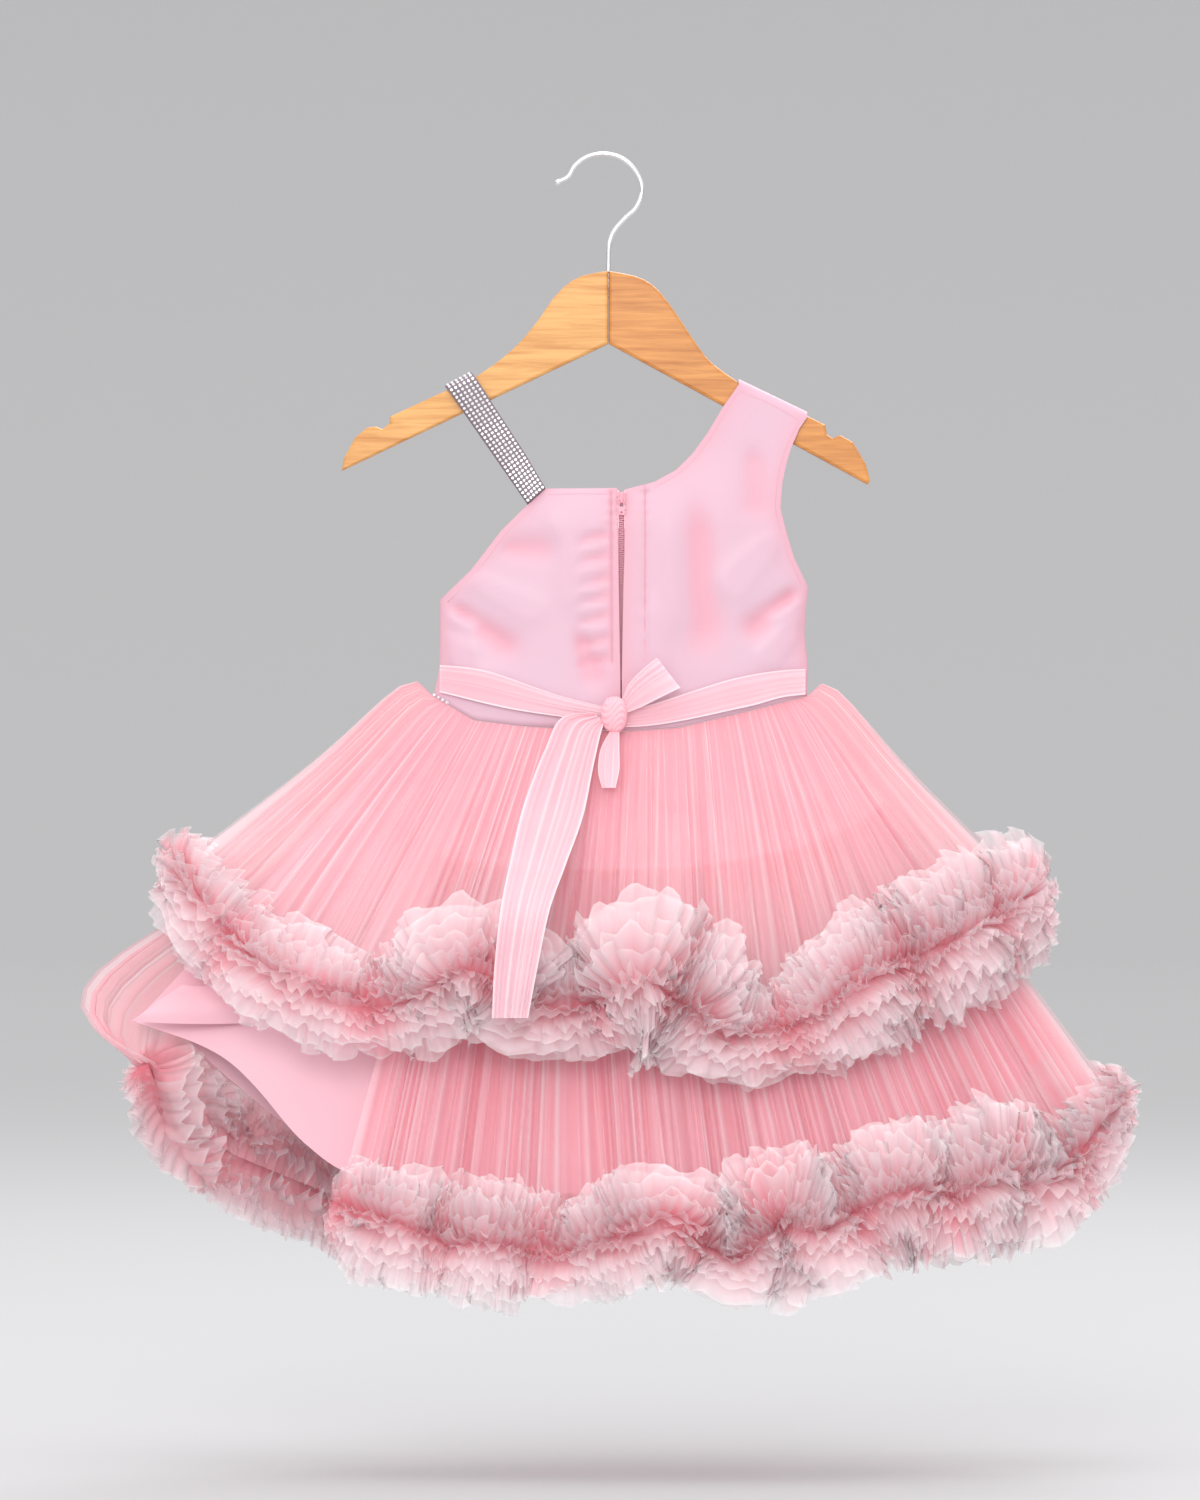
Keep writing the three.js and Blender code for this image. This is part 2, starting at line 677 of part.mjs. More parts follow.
function ruffleGrid(hem, table, waves) {
  const columns = waves * STEPS_A_WAVE;
  return RUFFLE_SECTION.map((row) =>
    Array.from({ length: columns + 1 }, (_, j) => {
      const point = hem.getPointAt(j / columns);
      const outward = outwardAt(point);
      const turn = Math.sin((2 * Math.PI * j) / STEPS_A_WAVE + Math.PI / 4);
      const reach = LAYER_GAP + RUFFLE_REACH * row.reach + RUFFLE_WAVE * row.wave * turn;
      const tall = lookUp(table, "x", point.x, "ruffle");
      point.addScaledVector(outward, reach);
      point.z += tall * row.height;
      return point;
    }),
  );
}

const RUFFLES = [
  { name: "upper_ruffle_back", layer: "upper_tier_back", table: UPPER_BACK_HEM, waves: 22 },
  { name: "upper_ruffle_front", layer: "upper_tier_front", table: UPPER_FRONT_HEM, waves: 20 },
  { name: "lower_ruffle_back", layer: "lower_tier_back", table: LOWER_BACK_HEM, waves: 22 },
  { name: "lower_ruffle_front", layer: "lower_tier_front", table: LOWER_FRONT_HEM, waves: 22 },
];
for (const { name, layer, table, waves } of RUFFLES) {
  const { hem, side } = LAYERS[layer];
  add(name, halfWall(ruffleGrid(hem, table, waves), TULLE, side), CLOTH.ruffle);
}

// Sash: a band on each half of the back's waist, a knot beside the zip, and what hangs from it.
// The bands are points of the bodice moved out, from the side seam to the knot.
const BAND_LEFT = [
  { x: -112, top: -339.5, bottom: -357.5 },
  { x: -98, top: -340.5, bottom: -361 },
  { x: -82, top: -343, bottom: -365 },
  { x: -66, top: -348, bottom: -368.5 },
  { x: -48, top: -354.5, bottom: -371.5 },
  { x: -30, top: -360.5, bottom: -374 },
  { x: -14, top: -364.5, bottom: -376 },
  { x: 2, top: -368, bottom: -378 },
];
const BAND_RIGHT = [
  { x: 5, top: -370, bottom: -381 },
  { x: 26, top: -366.5, bottom: -380 },
  { x: 44, top: -361, bottom: -377.5 },
  { x: 62, top: -355, bottom: -374 },
  { x: 80, top: -349.5, bottom: -370 },
  { x: 98, top: -345.5, bottom: -366 },
  { x: 116, top: -343, bottom: -361 },
  { x: 131.5, top: -342, bottom: -359 },
];
const BAND_SHARES = [0, 0.33, 0.67, 1];
const BAND_FOLD = 0.8;
const BAND_OUT = SEAM + RIBBON + BAND_FOLD;

function bandGrid(rows) {
  return BAND_SHARES.map((share, i) =>
    rows.map(({ x, top, bottom }) => {
      const z = lerp(bottom, top, share);
      const out = BAND_OUT + (i % 2 ? BAND_FOLD : 0);
      return new THREE.Vector3(x, -bodiceReach(x, z) - out, z);
    }),
  );
}

add("sash_band_left", clothWall(bandGrid(BAND_LEFT), RIBBON, middlePlane), CLOTH.tulle);
add("sash_band_right", clothWall(bandGrid(BAND_RIGHT), RIBBON, middlePlane), CLOTH.tulle);

const KNOT = { x: 4.2, y: -22.9, z: -372.5, width: 15, deep: 11, tall: 22 };
const knot = new THREE.SphereGeometry(0.5, 12, 8);
knot.scale(KNOT.width, KNOT.deep, KNOT.tall);
knot.translate(KNOT.x, KNOT.y, KNOT.z);
add("sash_knot", knot, CLOTH.tulle);

// The end, the loop and the tail leave the knot: each row has the two edges of the ribbon
const SHORT_END = [
  { leftX: 9, leftZ: -363, rightX: 13, rightZ: -371, y: -22.6 },
  { leftX: 14, leftZ: -352, rightX: 23, rightZ: -367, y: -23.2 },
  { leftX: 22.5, leftZ: -343, rightX: 34, rightZ: -361.5, y: -24 },
  { leftX: 32.5, leftZ: -334.8, rightX: 48, rightZ: -354.6, y: -23 },
];
const LOOP = [
  { leftX: 1, leftZ: -384, rightX: 7.5, rightZ: -384, y: -24 },
  { leftX: -5, leftZ: -396, rightX: 7.5, rightZ: -396, y: -31 },
  { leftX: -6.5, leftZ: -410, rightX: 7.5, rightZ: -409, y: -35.5 },
  { leftX: -4, leftZ: -421, rightX: 5, rightZ: -421, y: -39 },
];
const TAIL = [
  { leftX: -9.5, leftZ: -371, rightX: -2.7, rightZ: -378, y: -22.6 },
  { leftX: -30, leftZ: -374, rightX: -5, rightZ: -386, y: -27 },
  { leftX: -42, leftZ: -396, rightX: -9.5, rightZ: -406, y: -35 },
  { leftX: -55, leftZ: -430, rightX: -16, rightZ: -438, y: -49 },
  { leftX: -64, leftZ: -468, rightX: -28, rightZ: -472, y: -90 },
  { leftX: -70, leftZ: -500, rightX: -38.5, rightZ: -502, y: -137 },
  { leftX: -74, leftZ: -538, rightX: -46, rightZ: -538, y: -141 },
  { leftX: -75.5, leftZ: -570, rightX: -52, rightZ: -570, y: -142 },
];
const RIBBON_COLUMNS = 4;
const RIBBON_FOLD = 1.6;

function ribbonGrid(rows) {
  return rows.map((row, i) =>
    Array.from({ length: RIBBON_COLUMNS + 1 }, (_, j) => {
      const share = j / RIBBON_COLUMNS;
      const fold = i && j % 2 ? RIBBON_FOLD : 0;
      const x = lerp(row.leftX, row.rightX, share);
      return new THREE.Vector3(x, row.y - fold, lerp(row.leftZ, row.rightZ, share));
    }),
  );
}

for (const [name, rows] of [["sash_end", SHORT_END], ["sash_loop", LOOP], ["sash_tail", TAIL]]) {
  add(name, clothWall(ribbonGrid(rows), RIBBON, middlePlane), CLOTH.tulle);
}

// Zip: a tape under each edge of the slit, a slider near the top and its pull tab on a bridge
const ZIP_X = 9;
const ZIP_TOP = -223;
const ZIP_BOTTOM = -350;
const TAPE_WIDTH = 11;
const TAPE_THICK = 1;
const CHAIN_GAP = 3.6;
const TAPE_ROWS = 5;

function zipTape(side) {
  const grid = Array.from({ length: TAPE_ROWS + 1 }, (_, i) => {
    const z = lerp(ZIP_BOTTOM, ZIP_TOP, i / TAPE_ROWS);
    return [0, 0.5, 1].map((share) => {
      const x = ZIP_X + side * (CHAIN_GAP / 2 + share * TAPE_WIDTH);
      return new THREE.Vector3(x, SATIN + SEAM - bodiceReach(x, z), z);
    });
  });
  return clothWall(grid, TAPE_THICK, middlePlane);
}

const SLIDER = { width: 4.4, top: -224.5, bottom: -232, plate: 1.1, web: 1.4, inset: 1 };
const FACE_Y = -15.3;
const BACK_Y = -11.4;
const BRIDGE = { width: 1.4, bar: 0.7, room: 1.8, top: -225.4, bottom: -230.8 };
const PULL = { width: 4, thick: 0.9, axisZ: -229.2, window: 5, plate: 5.4, hole: 0.8, rim: 0.7 };
const PULL_Y = FACE_Y - BRIDGE.room / 2;
const PIVOT_ROUND = 0.45;
const JOIN_LAP = 0.2;

function zipSlider() {
  const half = SLIDER.width / 2;
  const face = [ZIP_X - half, ZIP_X + half];
  const front = block([face[0], FACE_Y, SLIDER.bottom], [face[1], FACE_Y + SLIDER.plate, SLIDER.top]);
  const back = block([face[0], BACK_Y - SLIDER.plate, SLIDER.bottom], [face[1], BACK_Y, SLIDER.top]);
  const web = block(
    [ZIP_X - SLIDER.web / 2, FACE_Y + JOIN_LAP, SLIDER.bottom + SLIDER.inset],
    [ZIP_X + SLIDER.web / 2, BACK_Y - JOIN_LAP, SLIDER.top - SLIDER.inset],
  );
  const outerY = FACE_Y - BRIDGE.room - BRIDGE.bar;
  const bridge = block(
    [ZIP_X - BRIDGE.width / 2, outerY, BRIDGE.bottom - BRIDGE.bar],
    [ZIP_X + BRIDGE.width / 2, FACE_Y + JOIN_LAP, BRIDGE.top + BRIDGE.bar],
  );
  const room = block(
    [ZIP_X - BRIDGE.width, FACE_Y - BRIDGE.room, BRIDGE.bottom],
    [ZIP_X + BRIDGE.width, FACE_Y, BRIDGE.top],
  );
  return join(front, back, web, cut(bridge, room));
}

// The tab's crossbar passes under the bridge, and the bridge stands through its window
function zipPull() {
  const half = PULL.width / 2;
  const y = [PULL_Y - PULL.thick / 2, PULL_Y + PULL.thick / 2];
  const bottom = PULL.axisZ - PULL.window - PULL.plate;
  const plate = block([ZIP_X - half, y[0], bottom], [ZIP_X + half, y[1], PULL.axisZ]);
  const window = block(
    [ZIP_X - half + PULL.rim, y[0] - 1, PULL.axisZ - PULL.window],
    [ZIP_X + half - PULL.rim, y[1] + 1, PULL.axisZ + 1],
  );
  const bar = new THREE.CylinderGeometry(PIVOT_ROUND, PIVOT_ROUND, PULL.width, 10);
  bar.rotateZ(Math.PI / 2);
  bar.translate(ZIP_X, PULL_Y, PULL.axisZ);
  const hole = new THREE.CylinderGeometry(PULL.hole, PULL.hole, 3 * PULL.thick, 10);
  hole.translate(ZIP_X, PULL_Y, bottom + 2 * PULL.hole);
  return join(cut(plate, window, hole), bar);
}

add("zip_tape_left", zipTape(-1), CLOTH.zip);
add("zip_tape_right", zipTape(1), CLOTH.zip);
add("zip_slider", zipSlider(), CLOTH.zip);
add("zip_pull", zipPull(), CLOTH.zip);

export default group;
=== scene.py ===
import math

import bmesh
import bpy
import numpy as np
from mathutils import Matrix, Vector


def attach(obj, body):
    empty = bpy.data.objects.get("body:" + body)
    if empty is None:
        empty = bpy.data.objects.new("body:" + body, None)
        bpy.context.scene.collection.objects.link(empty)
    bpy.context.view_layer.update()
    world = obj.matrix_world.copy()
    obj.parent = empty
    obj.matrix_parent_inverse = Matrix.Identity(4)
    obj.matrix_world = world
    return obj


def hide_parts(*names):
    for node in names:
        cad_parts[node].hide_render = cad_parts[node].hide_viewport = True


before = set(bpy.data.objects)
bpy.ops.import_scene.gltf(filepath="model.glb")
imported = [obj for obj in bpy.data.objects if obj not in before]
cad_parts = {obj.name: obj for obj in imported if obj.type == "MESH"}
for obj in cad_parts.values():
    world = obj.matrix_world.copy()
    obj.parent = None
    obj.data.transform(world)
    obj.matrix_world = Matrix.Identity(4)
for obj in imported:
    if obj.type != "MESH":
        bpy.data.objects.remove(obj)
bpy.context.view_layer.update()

# Studio: a straight view of the side with the zip, from far off so that it hardly swells.
# The dress hangs in a wide pale bowl, a floor whose rim curves up all round, beyond the camera,
# and large soft lamps stand about it.
MM = 0.001
VIEW_CENTRE = (-5.3 * MM, -396 * MM)
VIEW_HEIGHT = 1.0
LENS = 200
SENSOR = 36
FLOOR_Z = -0.875
FLOOR_RADIUS = 14.0
BOWL_BEND = 6.0
BOWL_SIDES = 96
BOWL_COLOUR = (0.56, 0.565, 0.575, 1)


def colour(code):
    """A colour as a printer writes it, turned into the linear values that a shader takes."""
    parts = [int(code[i : i + 2], 16) / 255 for i in (0, 2, 4)]
    return tuple(p / 12.92 if p <= 0.04045 else ((p + 0.055) / 1.055) ** 2.4 for p in parts) + (1,)


def bare_material(name):
    material = bpy.data.materials.new(name)
    material.use_nodes = True
    nodes = material.node_tree.nodes
    return material, nodes, material.node_tree.links, nodes["Principled BSDF"]


def speckle(nodes, links, shader, texture, scale, dark, pale, output="Fac"):
    """A base colour that varies between two tones in small specks."""
    specks = nodes.new(texture)
    specks.inputs["Scale"].default_value = scale
    tone = nodes.new("ShaderNodeValToRGB")
    tone.color_ramp.elements[0].color = colour(dark)
    tone.color_ramp.elements[1].color = colour(pale)
    links.new(specks.outputs[output], tone.inputs["Fac"])
    links.new(tone.outputs["Color"], shader.inputs["Base Color"])
    return specks


def mesh_object(name, points, faces, smooth=True):
    mesh = bpy.data.meshes.new(name)
    mesh.from_pydata([tuple(p) for p in points], [], faces)
    mesh.validate()
    mesh.polygons.foreach_set("use_smooth", [smooth] * len(mesh.polygons))
    piece = bpy.data.objects.new(name, mesh)
    bpy.context.collection.objects.link(piece)
    return piece


view = bpy.data.cameras.new("view")
view.lens = LENS
view.sensor_width = SENSOR
view.clip_end = 50
camera = bpy.data.objects.new("camera", view)
camera.location = (VIEW_CENTRE[0], -VIEW_HEIGHT * LENS / SENSOR, VIEW_CENTRE[1])
camera.rotation_euler = (math.radians(90), 0, 0)
bpy.context.collection.objects.link(camera)
bpy.context.scene.camera = camera

bend = [
    (FLOOR_RADIUS + BOWL_BEND * math.sin(a), FLOOR_Z + BOWL_BEND * (1 - math.cos(a)))
    for a in np.linspace(0, math.radians(75), 16)
]
profile = [(1.0, FLOOR_Z), *bend]
turns = [2 * math.pi * k / BOWL_SIDES for k in range(BOWL_SIDES)]
bowl = mesh_object(
    "studio_bowl",
    [(r * math.cos(a), r * math.sin(a), z) for r, z in profile for a in turns],
    [
        (i * BOWL_SIDES + k, (i + 1) * BOWL_SIDES + k,
         (i + 1) * BOWL_SIDES + (k + 1) % BOWL_SIDES, i * BOWL_SIDES + (k + 1) % BOWL_SIDES)
        for i in range(len(profile) - 1)
        for k in range(BOWL_SIDES)
    ] + [tuple(range(BOWL_SIDES))],
)
plaster, _, _, shader = bare_material("pale_plaster")
shader.inputs["Base Color"].default_value = BOWL_COLOUR
shader.inputs["Roughness"].default_value = 0.9
shader.inputs["Specular IOR Level"].default_value = 0.1
bowl.data.materials.append(plaster)

LAMPS = [
    {"name": "front", "at": (-0.3, -5.6, 1.4), "size": 1.8, "watts": 104},
    {"name": "key", "at": (-1.7, -3.0, 0.9), "size": 2.6, "watts": 24},
    {"name": "fill", "at": (2.2, -2.8, 0.1), "size": 2.6, "watts": 12},
    {"name": "top", "at": (0.2, -0.6, 2.2), "size": 2.0, "watts": 20},
    {"name": "back", "at": (0.8, 2.6, 2.4), "size": 2.2, "watts": 45},
]
for row in LAMPS:
    lamp = bpy.data.lights.new(row["name"], "AREA")
    lamp.size = row["size"]
    lamp.energy = row["watts"]
    stand = bpy.data.objects.new(row["name"], lamp)
    stand.location = row["at"]
    aim = Vector((0, 0, VIEW_CENTRE[1])) - stand.location
    stand.rotation_euler = aim.to_track_quat("-Z", "Y").to_euler()
    bpy.context.collection.objects.link(stand)
sky = bpy.data.worlds.new("sky")
sky.use_nodes = True
sky.node_tree.nodes["Background"].inputs["Color"].default_value = (1, 0.98, 0.98, 1)
sky.node_tree.nodes["Background"].inputs["Strength"].default_value = 1.0
bpy.context.scene.world = sky
bpy.context.scene.view_settings.view_transform = "Standard"
bpy.context.scene.cycles.transparent_max_bounces = 8

# Hanger arms: two pieces of solid bamboo or beech, sawn to a curve, rounded over, sanded and
# lacquered, and glued together at the middle. The grain runs along each arm.
WOOD = [
    {"node": "hanger_arm_left", "slot": "wood_light", "pale": "DDA45C", "dark": "BF7D38", "lean": 26},
    {"node": "hanger_arm_right", "slot": "wood_dark", "pale": "D28D43", "dark": "B06A2B", "lean": -28},
]
EDGE_ROUND = 0.9 * MM


def wood_material(name, pale, dark, lean):
    material, nodes, links, shader = bare_material(name)
    place = nodes.new("ShaderNodeTexCoord")
    turned = nodes.new("ShaderNodeMapping")
    turned.inputs["Rotation"].default_value = (0, math.radians(lean), 0)
    turned.inputs["Scale"].default_value = (9, 60, 150)
    links.new(place.outputs["Object"], turned.inputs["Vector"])
    grain = nodes.new("ShaderNodeTexNoise")
    grain.inputs["Scale"].default_value = 1.6
    grain.inputs["Detail"].default_value = 6
    grain.inputs["Roughness"].default_value = 0.62
    grain.inputs["Distortion"].default_value = 0.35
    links.new(turned.outputs["Vector"], grain.inputs["Vector"])
    tone = nodes.new("ShaderNodeValToRGB")
    tone.color_ramp.elements[0].position = 0.32
    tone.color_ramp.elements[0].color = colour(dark)
    tone.color_ramp.elements[1].position = 0.62
    tone.color_ramp.elements[1].color = colour(pale)
    links.new(grain.outputs["Fac"], tone.inputs["Fac"])
    links.new(tone.outputs["Color"], shader.inputs["Base Color"])
    rough = nodes.new("ShaderNodeMapRange")
    rough.inputs["To Min"].default_value = 0.48
    rough.inputs["To Max"].default_value = 0.3
    links.new(grain.outputs["Fac"], rough.inputs["Value"])
    links.new(rough.outputs["Result"], shader.inputs["Roughness"])
    relief = nodes.new("ShaderNodeBump")
    relief.inputs["Strength"].default_value = 0.12
    relief.inputs["Distance"].default_value = 0.4 * MM
    links.new(grain.outputs["Fac"], relief.inputs["Height"])
    links.new(relief.outputs["Normal"], shader.inputs["Normal"])
    shader.inputs["Coat Weight"].default_value = 0.25
    shader.inputs["Coat Roughness"].default_value = 0.25
    return material


for row in WOOD:
    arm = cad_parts[row["node"]]
    arm.data.materials.clear()
    arm.data.materials.append(wood_material(row["slot"], row["pale"], row["dark"], row["lean"]))
    rounding = arm.modifiers.new("rounding", "BEVEL")
    rounding.width = EDGE_ROUND
    rounding.segments = 2
    rounding.limit_method = "ANGLE"
    rounding.angle_limit = math.radians(40)

# Hook: 3 mm steel wire, bent round and chromed, with a small ball on its tip, screwed into the
# top of the arms.
WIRE_RADIUS = 1.5 * MM
TIP_RADIUS = 2.1 * MM
HOOK_LINE = [
    (-33.3, -17.5), (-26.3, -13.5), (-21.8, -6.2), (-14.5, -0.8), (-3.3, 1.5), (9.3, -1.6),
    (18.9, -10.8), (22.7, -22.8), (18.9, -34.2), (11.3, -41.5), (4, -50.2), (1, -58.5),
    (0.4, -72), (0.4, -94.5),
]


def smooth_line(points, count, tension=0.5):
    """A centripetal Catmull-Rom line through points, as count + 1 points evenly apart."""
    p = np.array(points, float)
    p = np.vstack([2 * p[0] - p[1], p, 2 * p[-1] - p[-2]])
    knots = np.cumsum([0, *np.maximum(np.linalg.norm(np.diff(p, axis=0), axis=1), 1e-9) ** tension])
    fine = []
    for i in range(1, len(p) - 2):
        a, b, c, d = p[i - 1 : i + 3]
        ta, tb, tc, td = knots[i - 1 : i + 3]
        t = np.linspace(tb, tc, 24, endpoint=False)[:, None]
        ab = a * (tb - t) / (tb - ta) + b * (t - ta) / (tb - ta)
        bc = b * (tc - t) / (tc - tb) + c * (t - tb) / (tc - tb)
        cd = c * (td - t) / (td - tc) + d * (t - tc) / (td - tc)
        abc = ab * (tc - t) / (tc - ta) + bc * (t - ta) / (tc - ta)
        bcd = bc * (td - t) / (td - tb) + cd * (t - tb) / (td - tb)
        fine.append(abc * (tc - t) / (tc - tb) + bcd * (t - tb) / (tc - tb))
    fine = np.vstack([*fine, p[-2]])
    way = np.cumsum([0, *np.linalg.norm(np.diff(fine, axis=0), axis=1)])
    even = np.linspace(0, way[-1], count + 1)
    return np.stack([np.interp(even, way, fine[:, k]) for k in range(fine.shape[1])], axis=1)


def tube(name, line, radius, sides=12):
    """A round tube along a line that lies in one upright plane, with closed ends."""
    points, faces = [], []
    for i, at in enumerate(line):
        along = Vector(line[min(i + 1, len(line) - 1)] - line[max(i - 1, 0)]).normalized()
        across = along.cross(Vector((0, 1, 0))).normalized()
        for k in range(sides):
            a = 2 * math.pi * k / sides
            points.append(Vector(at) + radius * (math.cos(a) * across + math.sin(a) * Vector((0, 1, 0))))
    for i in range(len(line) - 1):
        for k in range(sides):
            a, b = i * sides + k, i * sides + (k + 1) % sides
            faces.append((a, b, b + sides, a + sides))
    faces.append(tuple(range(sides)))
    faces.append(tuple(range(len(points) - 1, len(points) - sides - 1, -1)))
    return mesh_object(name, points, faces)


chrome, nodes, links, shader = bare_material("wire")
shader.inputs["Metallic"].default_value = 1
shader.inputs["Base Color"].default_value = (0.82, 0.83, 0.85, 1)
smear = nodes.new("ShaderNodeTexNoise")
smear.inputs["Scale"].default_value = 300
gloss = nodes.new("ShaderNodeMapRange")
gloss.inputs["To Min"].default_value = 0.12
gloss.inputs["To Max"].default_value = 0.26
links.new(smear.outputs["Fac"], gloss.inputs["Value"])
links.new(gloss.outputs["Result"], shader.inputs["Roughness"])

hook = tube("hook_wire", smooth_line([(x * MM, 0, z * MM) for x, z in HOOK_LINE], 90), WIRE_RADIUS, 16)
ball = bmesh.new()
bmesh.ops.create_uvsphere(ball, u_segments=20, v_segments=12, radius=TIP_RADIUS)
bmesh.ops.translate(ball, verts=ball.verts, vec=(HOOK_LINE[0][0] * MM, 0, HOOK_LINE[0][1] * MM))
ball.from_mesh(hook.data)
ball.to_mesh(hook.data)
ball.free()
hook.data.polygons.foreach_set("use_smooth", [True] * len(hook.data.polygons))
hook.data.materials.append(chrome)
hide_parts("hanger_hook")
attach(hook, "dress")

# Bodice: two back panels and one front panel of pale pink satin, cut as shells, sewn at the
# side and shoulder seams and turned under at the neck, the armholes and the zip. It hangs
# empty, so soft creases run from the armholes and the waist.
SEAM = 0.3
SATIN_THICK = 1.2
BODICE_DEPTH = 14
SHOULDER_DEPTH = 8.2
SHOULDER_RISE = (-250, -190)
SIDES = [(-360, -116.3, 132.7), (-340, -112.3, 133.5), (-318, -112, 131), (-288, -112, 133.7)]
WAIST = [(-116.3, -360), (-89, -376), (-57, -380), (9, -383.5), (47, -381), (93, -370), (132.7, -360)]
BACK_LEFT = [
    (-116.3, -360, 8.4, -383.5), (-112.3, -340, 8.3, -352), (-112, -318, 7.8, -325),
    (-112, -296, 7.4, -300), (-91.5, -276.5, 7, -275), (-71, -250, 6.5, -250),
    (-53.5, -232.8, 6, -235), (-41.4, -222, 6, -221.6),
]
BACK_RIGHT = [
    (9, -383.5, 132.7, -360), (9.2, -352, 133.5, -343), (9.6, -325, 131, -318),
    (10.2, -290, 132, -300), (11, -262, 133.7, -288), (11.6, -240, 124, -268),
    (12, -222.5, 118.5, -250), (31, -217.5, 114.8, -235), (45.5, -209.5, 116, -219),
    (56, -199, 118.6, -206), (66.5, -184.5, 122, -194.8), (77, -167, 127.5, -182),
    (87.2, -152.6, 132.7, -174.4),
]
FRONT = [
    (-116.3, -360, 132.7, -360), (-112.3, -340, 133.5, -340), (-112, -318, 131, -318),
    (-112, -296, 132, -300), (-91.5, -276.5, 133.7, -288), (-71, -250, 124, -268),
    (-53.5, -233.2, 118.5, -250), (-42, -224.5, 116, -240), (2, -226, 114.8, -231),
    (28, -223, 115.4, -223), (47, -213, 116.6, -214), (58, -202, 118.6, -205),
    (68.5, -187, 122, -194.8), (78.5, -169, 127.5, -182), (88, -153, 132.7, -174.4),
]
OVER_ARM = [(7.4, 1.8), (4.6, 3.4), (SEAM / 2, 4)]
# Each crease runs between two places, and has a width and a height: raised, or sunk if negative
CREASE_DEPTH = 1.9
CREASES = {
    "bodice_back_left": [
        ((-104, -300), (-62, -330), 7, -1.5),
        ((-92, -282), (-44, -306), 8, 1.1),
        ((-108, -330), (-78, -352), 6, 1.4),
        ((-70, -262), (-30, -262), 9, -1.0),
        ((-36, -240), (-20, -300), 10, 1.0),
        ((-20, -318), (-8, -352), 7, -1.1),
        *[
            ((-20, z - 5), (3, z), 3.2, -0.9)
            for z in (-252, -266, -281, -293, -306, -321, -334)
        ],
        *[
            ((-110, z), (-86, z - 9), 4, 1.0)
            for z in (-306, -322)
        ],
    ],
    "bodice_back_right": [
        ((126, -290), (92, -318), 7, -1.6),
        ((129, -306), (104, -338), 6, 1.5),
        ((112, -255), (76, -292), 10, 1.2),
        ((60, -236), (64, -330), 12, -1.3),
        ((40, -246), (46, -318), 9, 0.9),
        ((96, -196), (100, -240), 9, -0.8),
        ((30, -300), (34, -352), 6, 0.9),
        *[
            ((131, z), (106, z - 12), 4, 1.0)
            for z in (-298, -318)
        ],
    ],
    "bodice_front": [
        ((-100, -302), (-54, -330), 8, -1.5),
        ((124, -292), (84, -322), 8, -1.6),
        ((-30, -240), (-18, -330), 12, 1.1),
        ((52, -236), (46, -330), 12, -1.2),
        ((108, -230), (78, -280), 10, 1.2),
        ((-86, -284), (-60, -262), 7, 1.0),
    ],
}
ZIP_STITCHES = {"bodice_back_left": 2.0, "bodice_back_right": 24.7}


def bodice_reach(x, z):
    """How far the bodice's outer face stands from the middle plane, in millimetres."""
    heights = [row[0] for row in SIDES]
    left = np.interp(z, heights, [row[1] for row in SIDES])
    right = np.interp(z, heights, [row[2] for row in SIDES])
    across = np.clip((2 * x - left - right) / (right - left), -1, 1)
    rounded = SEAM / 2 + BODICE_DEPTH * np.sqrt(1 - across**2)
    share = np.clip((z - SHOULDER_RISE[0]) / (SHOULDER_RISE[1] - SHOULDER_RISE[0]), 0, 1)
    share = share**2 * (3 - 2 * share)
    return rounded + (SHOULDER_DEPTH - rounded) * share


def waist_z(x):
    return np.interp(x, [row[0] for row in WAIST], [row[1] for row in WAIST])


def crease_height(x, z, creases):
    total = np.zeros_like(x)
    for start, end, width, height in creases:
        a, b = np.array(start, float), np.array(end, float)
        way = b - a
        length = np.linalg.norm(way)
        share = ((x - a[0]) * way[0] + (z - a[1]) * way[1]) / length**2
        off = ((x - a[0]) * way[1] - (z - a[1]) * way[0]) / length
        wide = width * (0.7 + 0.6 * np.clip(share, 0, 1))
        fade = np.exp(-(np.maximum(np.abs(share - 0.5) - 0.3, 0) / 0.22) ** 2)
        total += height * np.exp(-((off / wide) ** 2)) * fade
    return total


def grid_faces(rows, columns, first=0):
    return [
        (first + i * columns + j, first + i * columns + j + 1,
         first + (i + 1) * columns + j + 1, first + (i + 1) * columns + j)
        for i in range(rows - 1)
        for j in range(columns - 1)
    ]


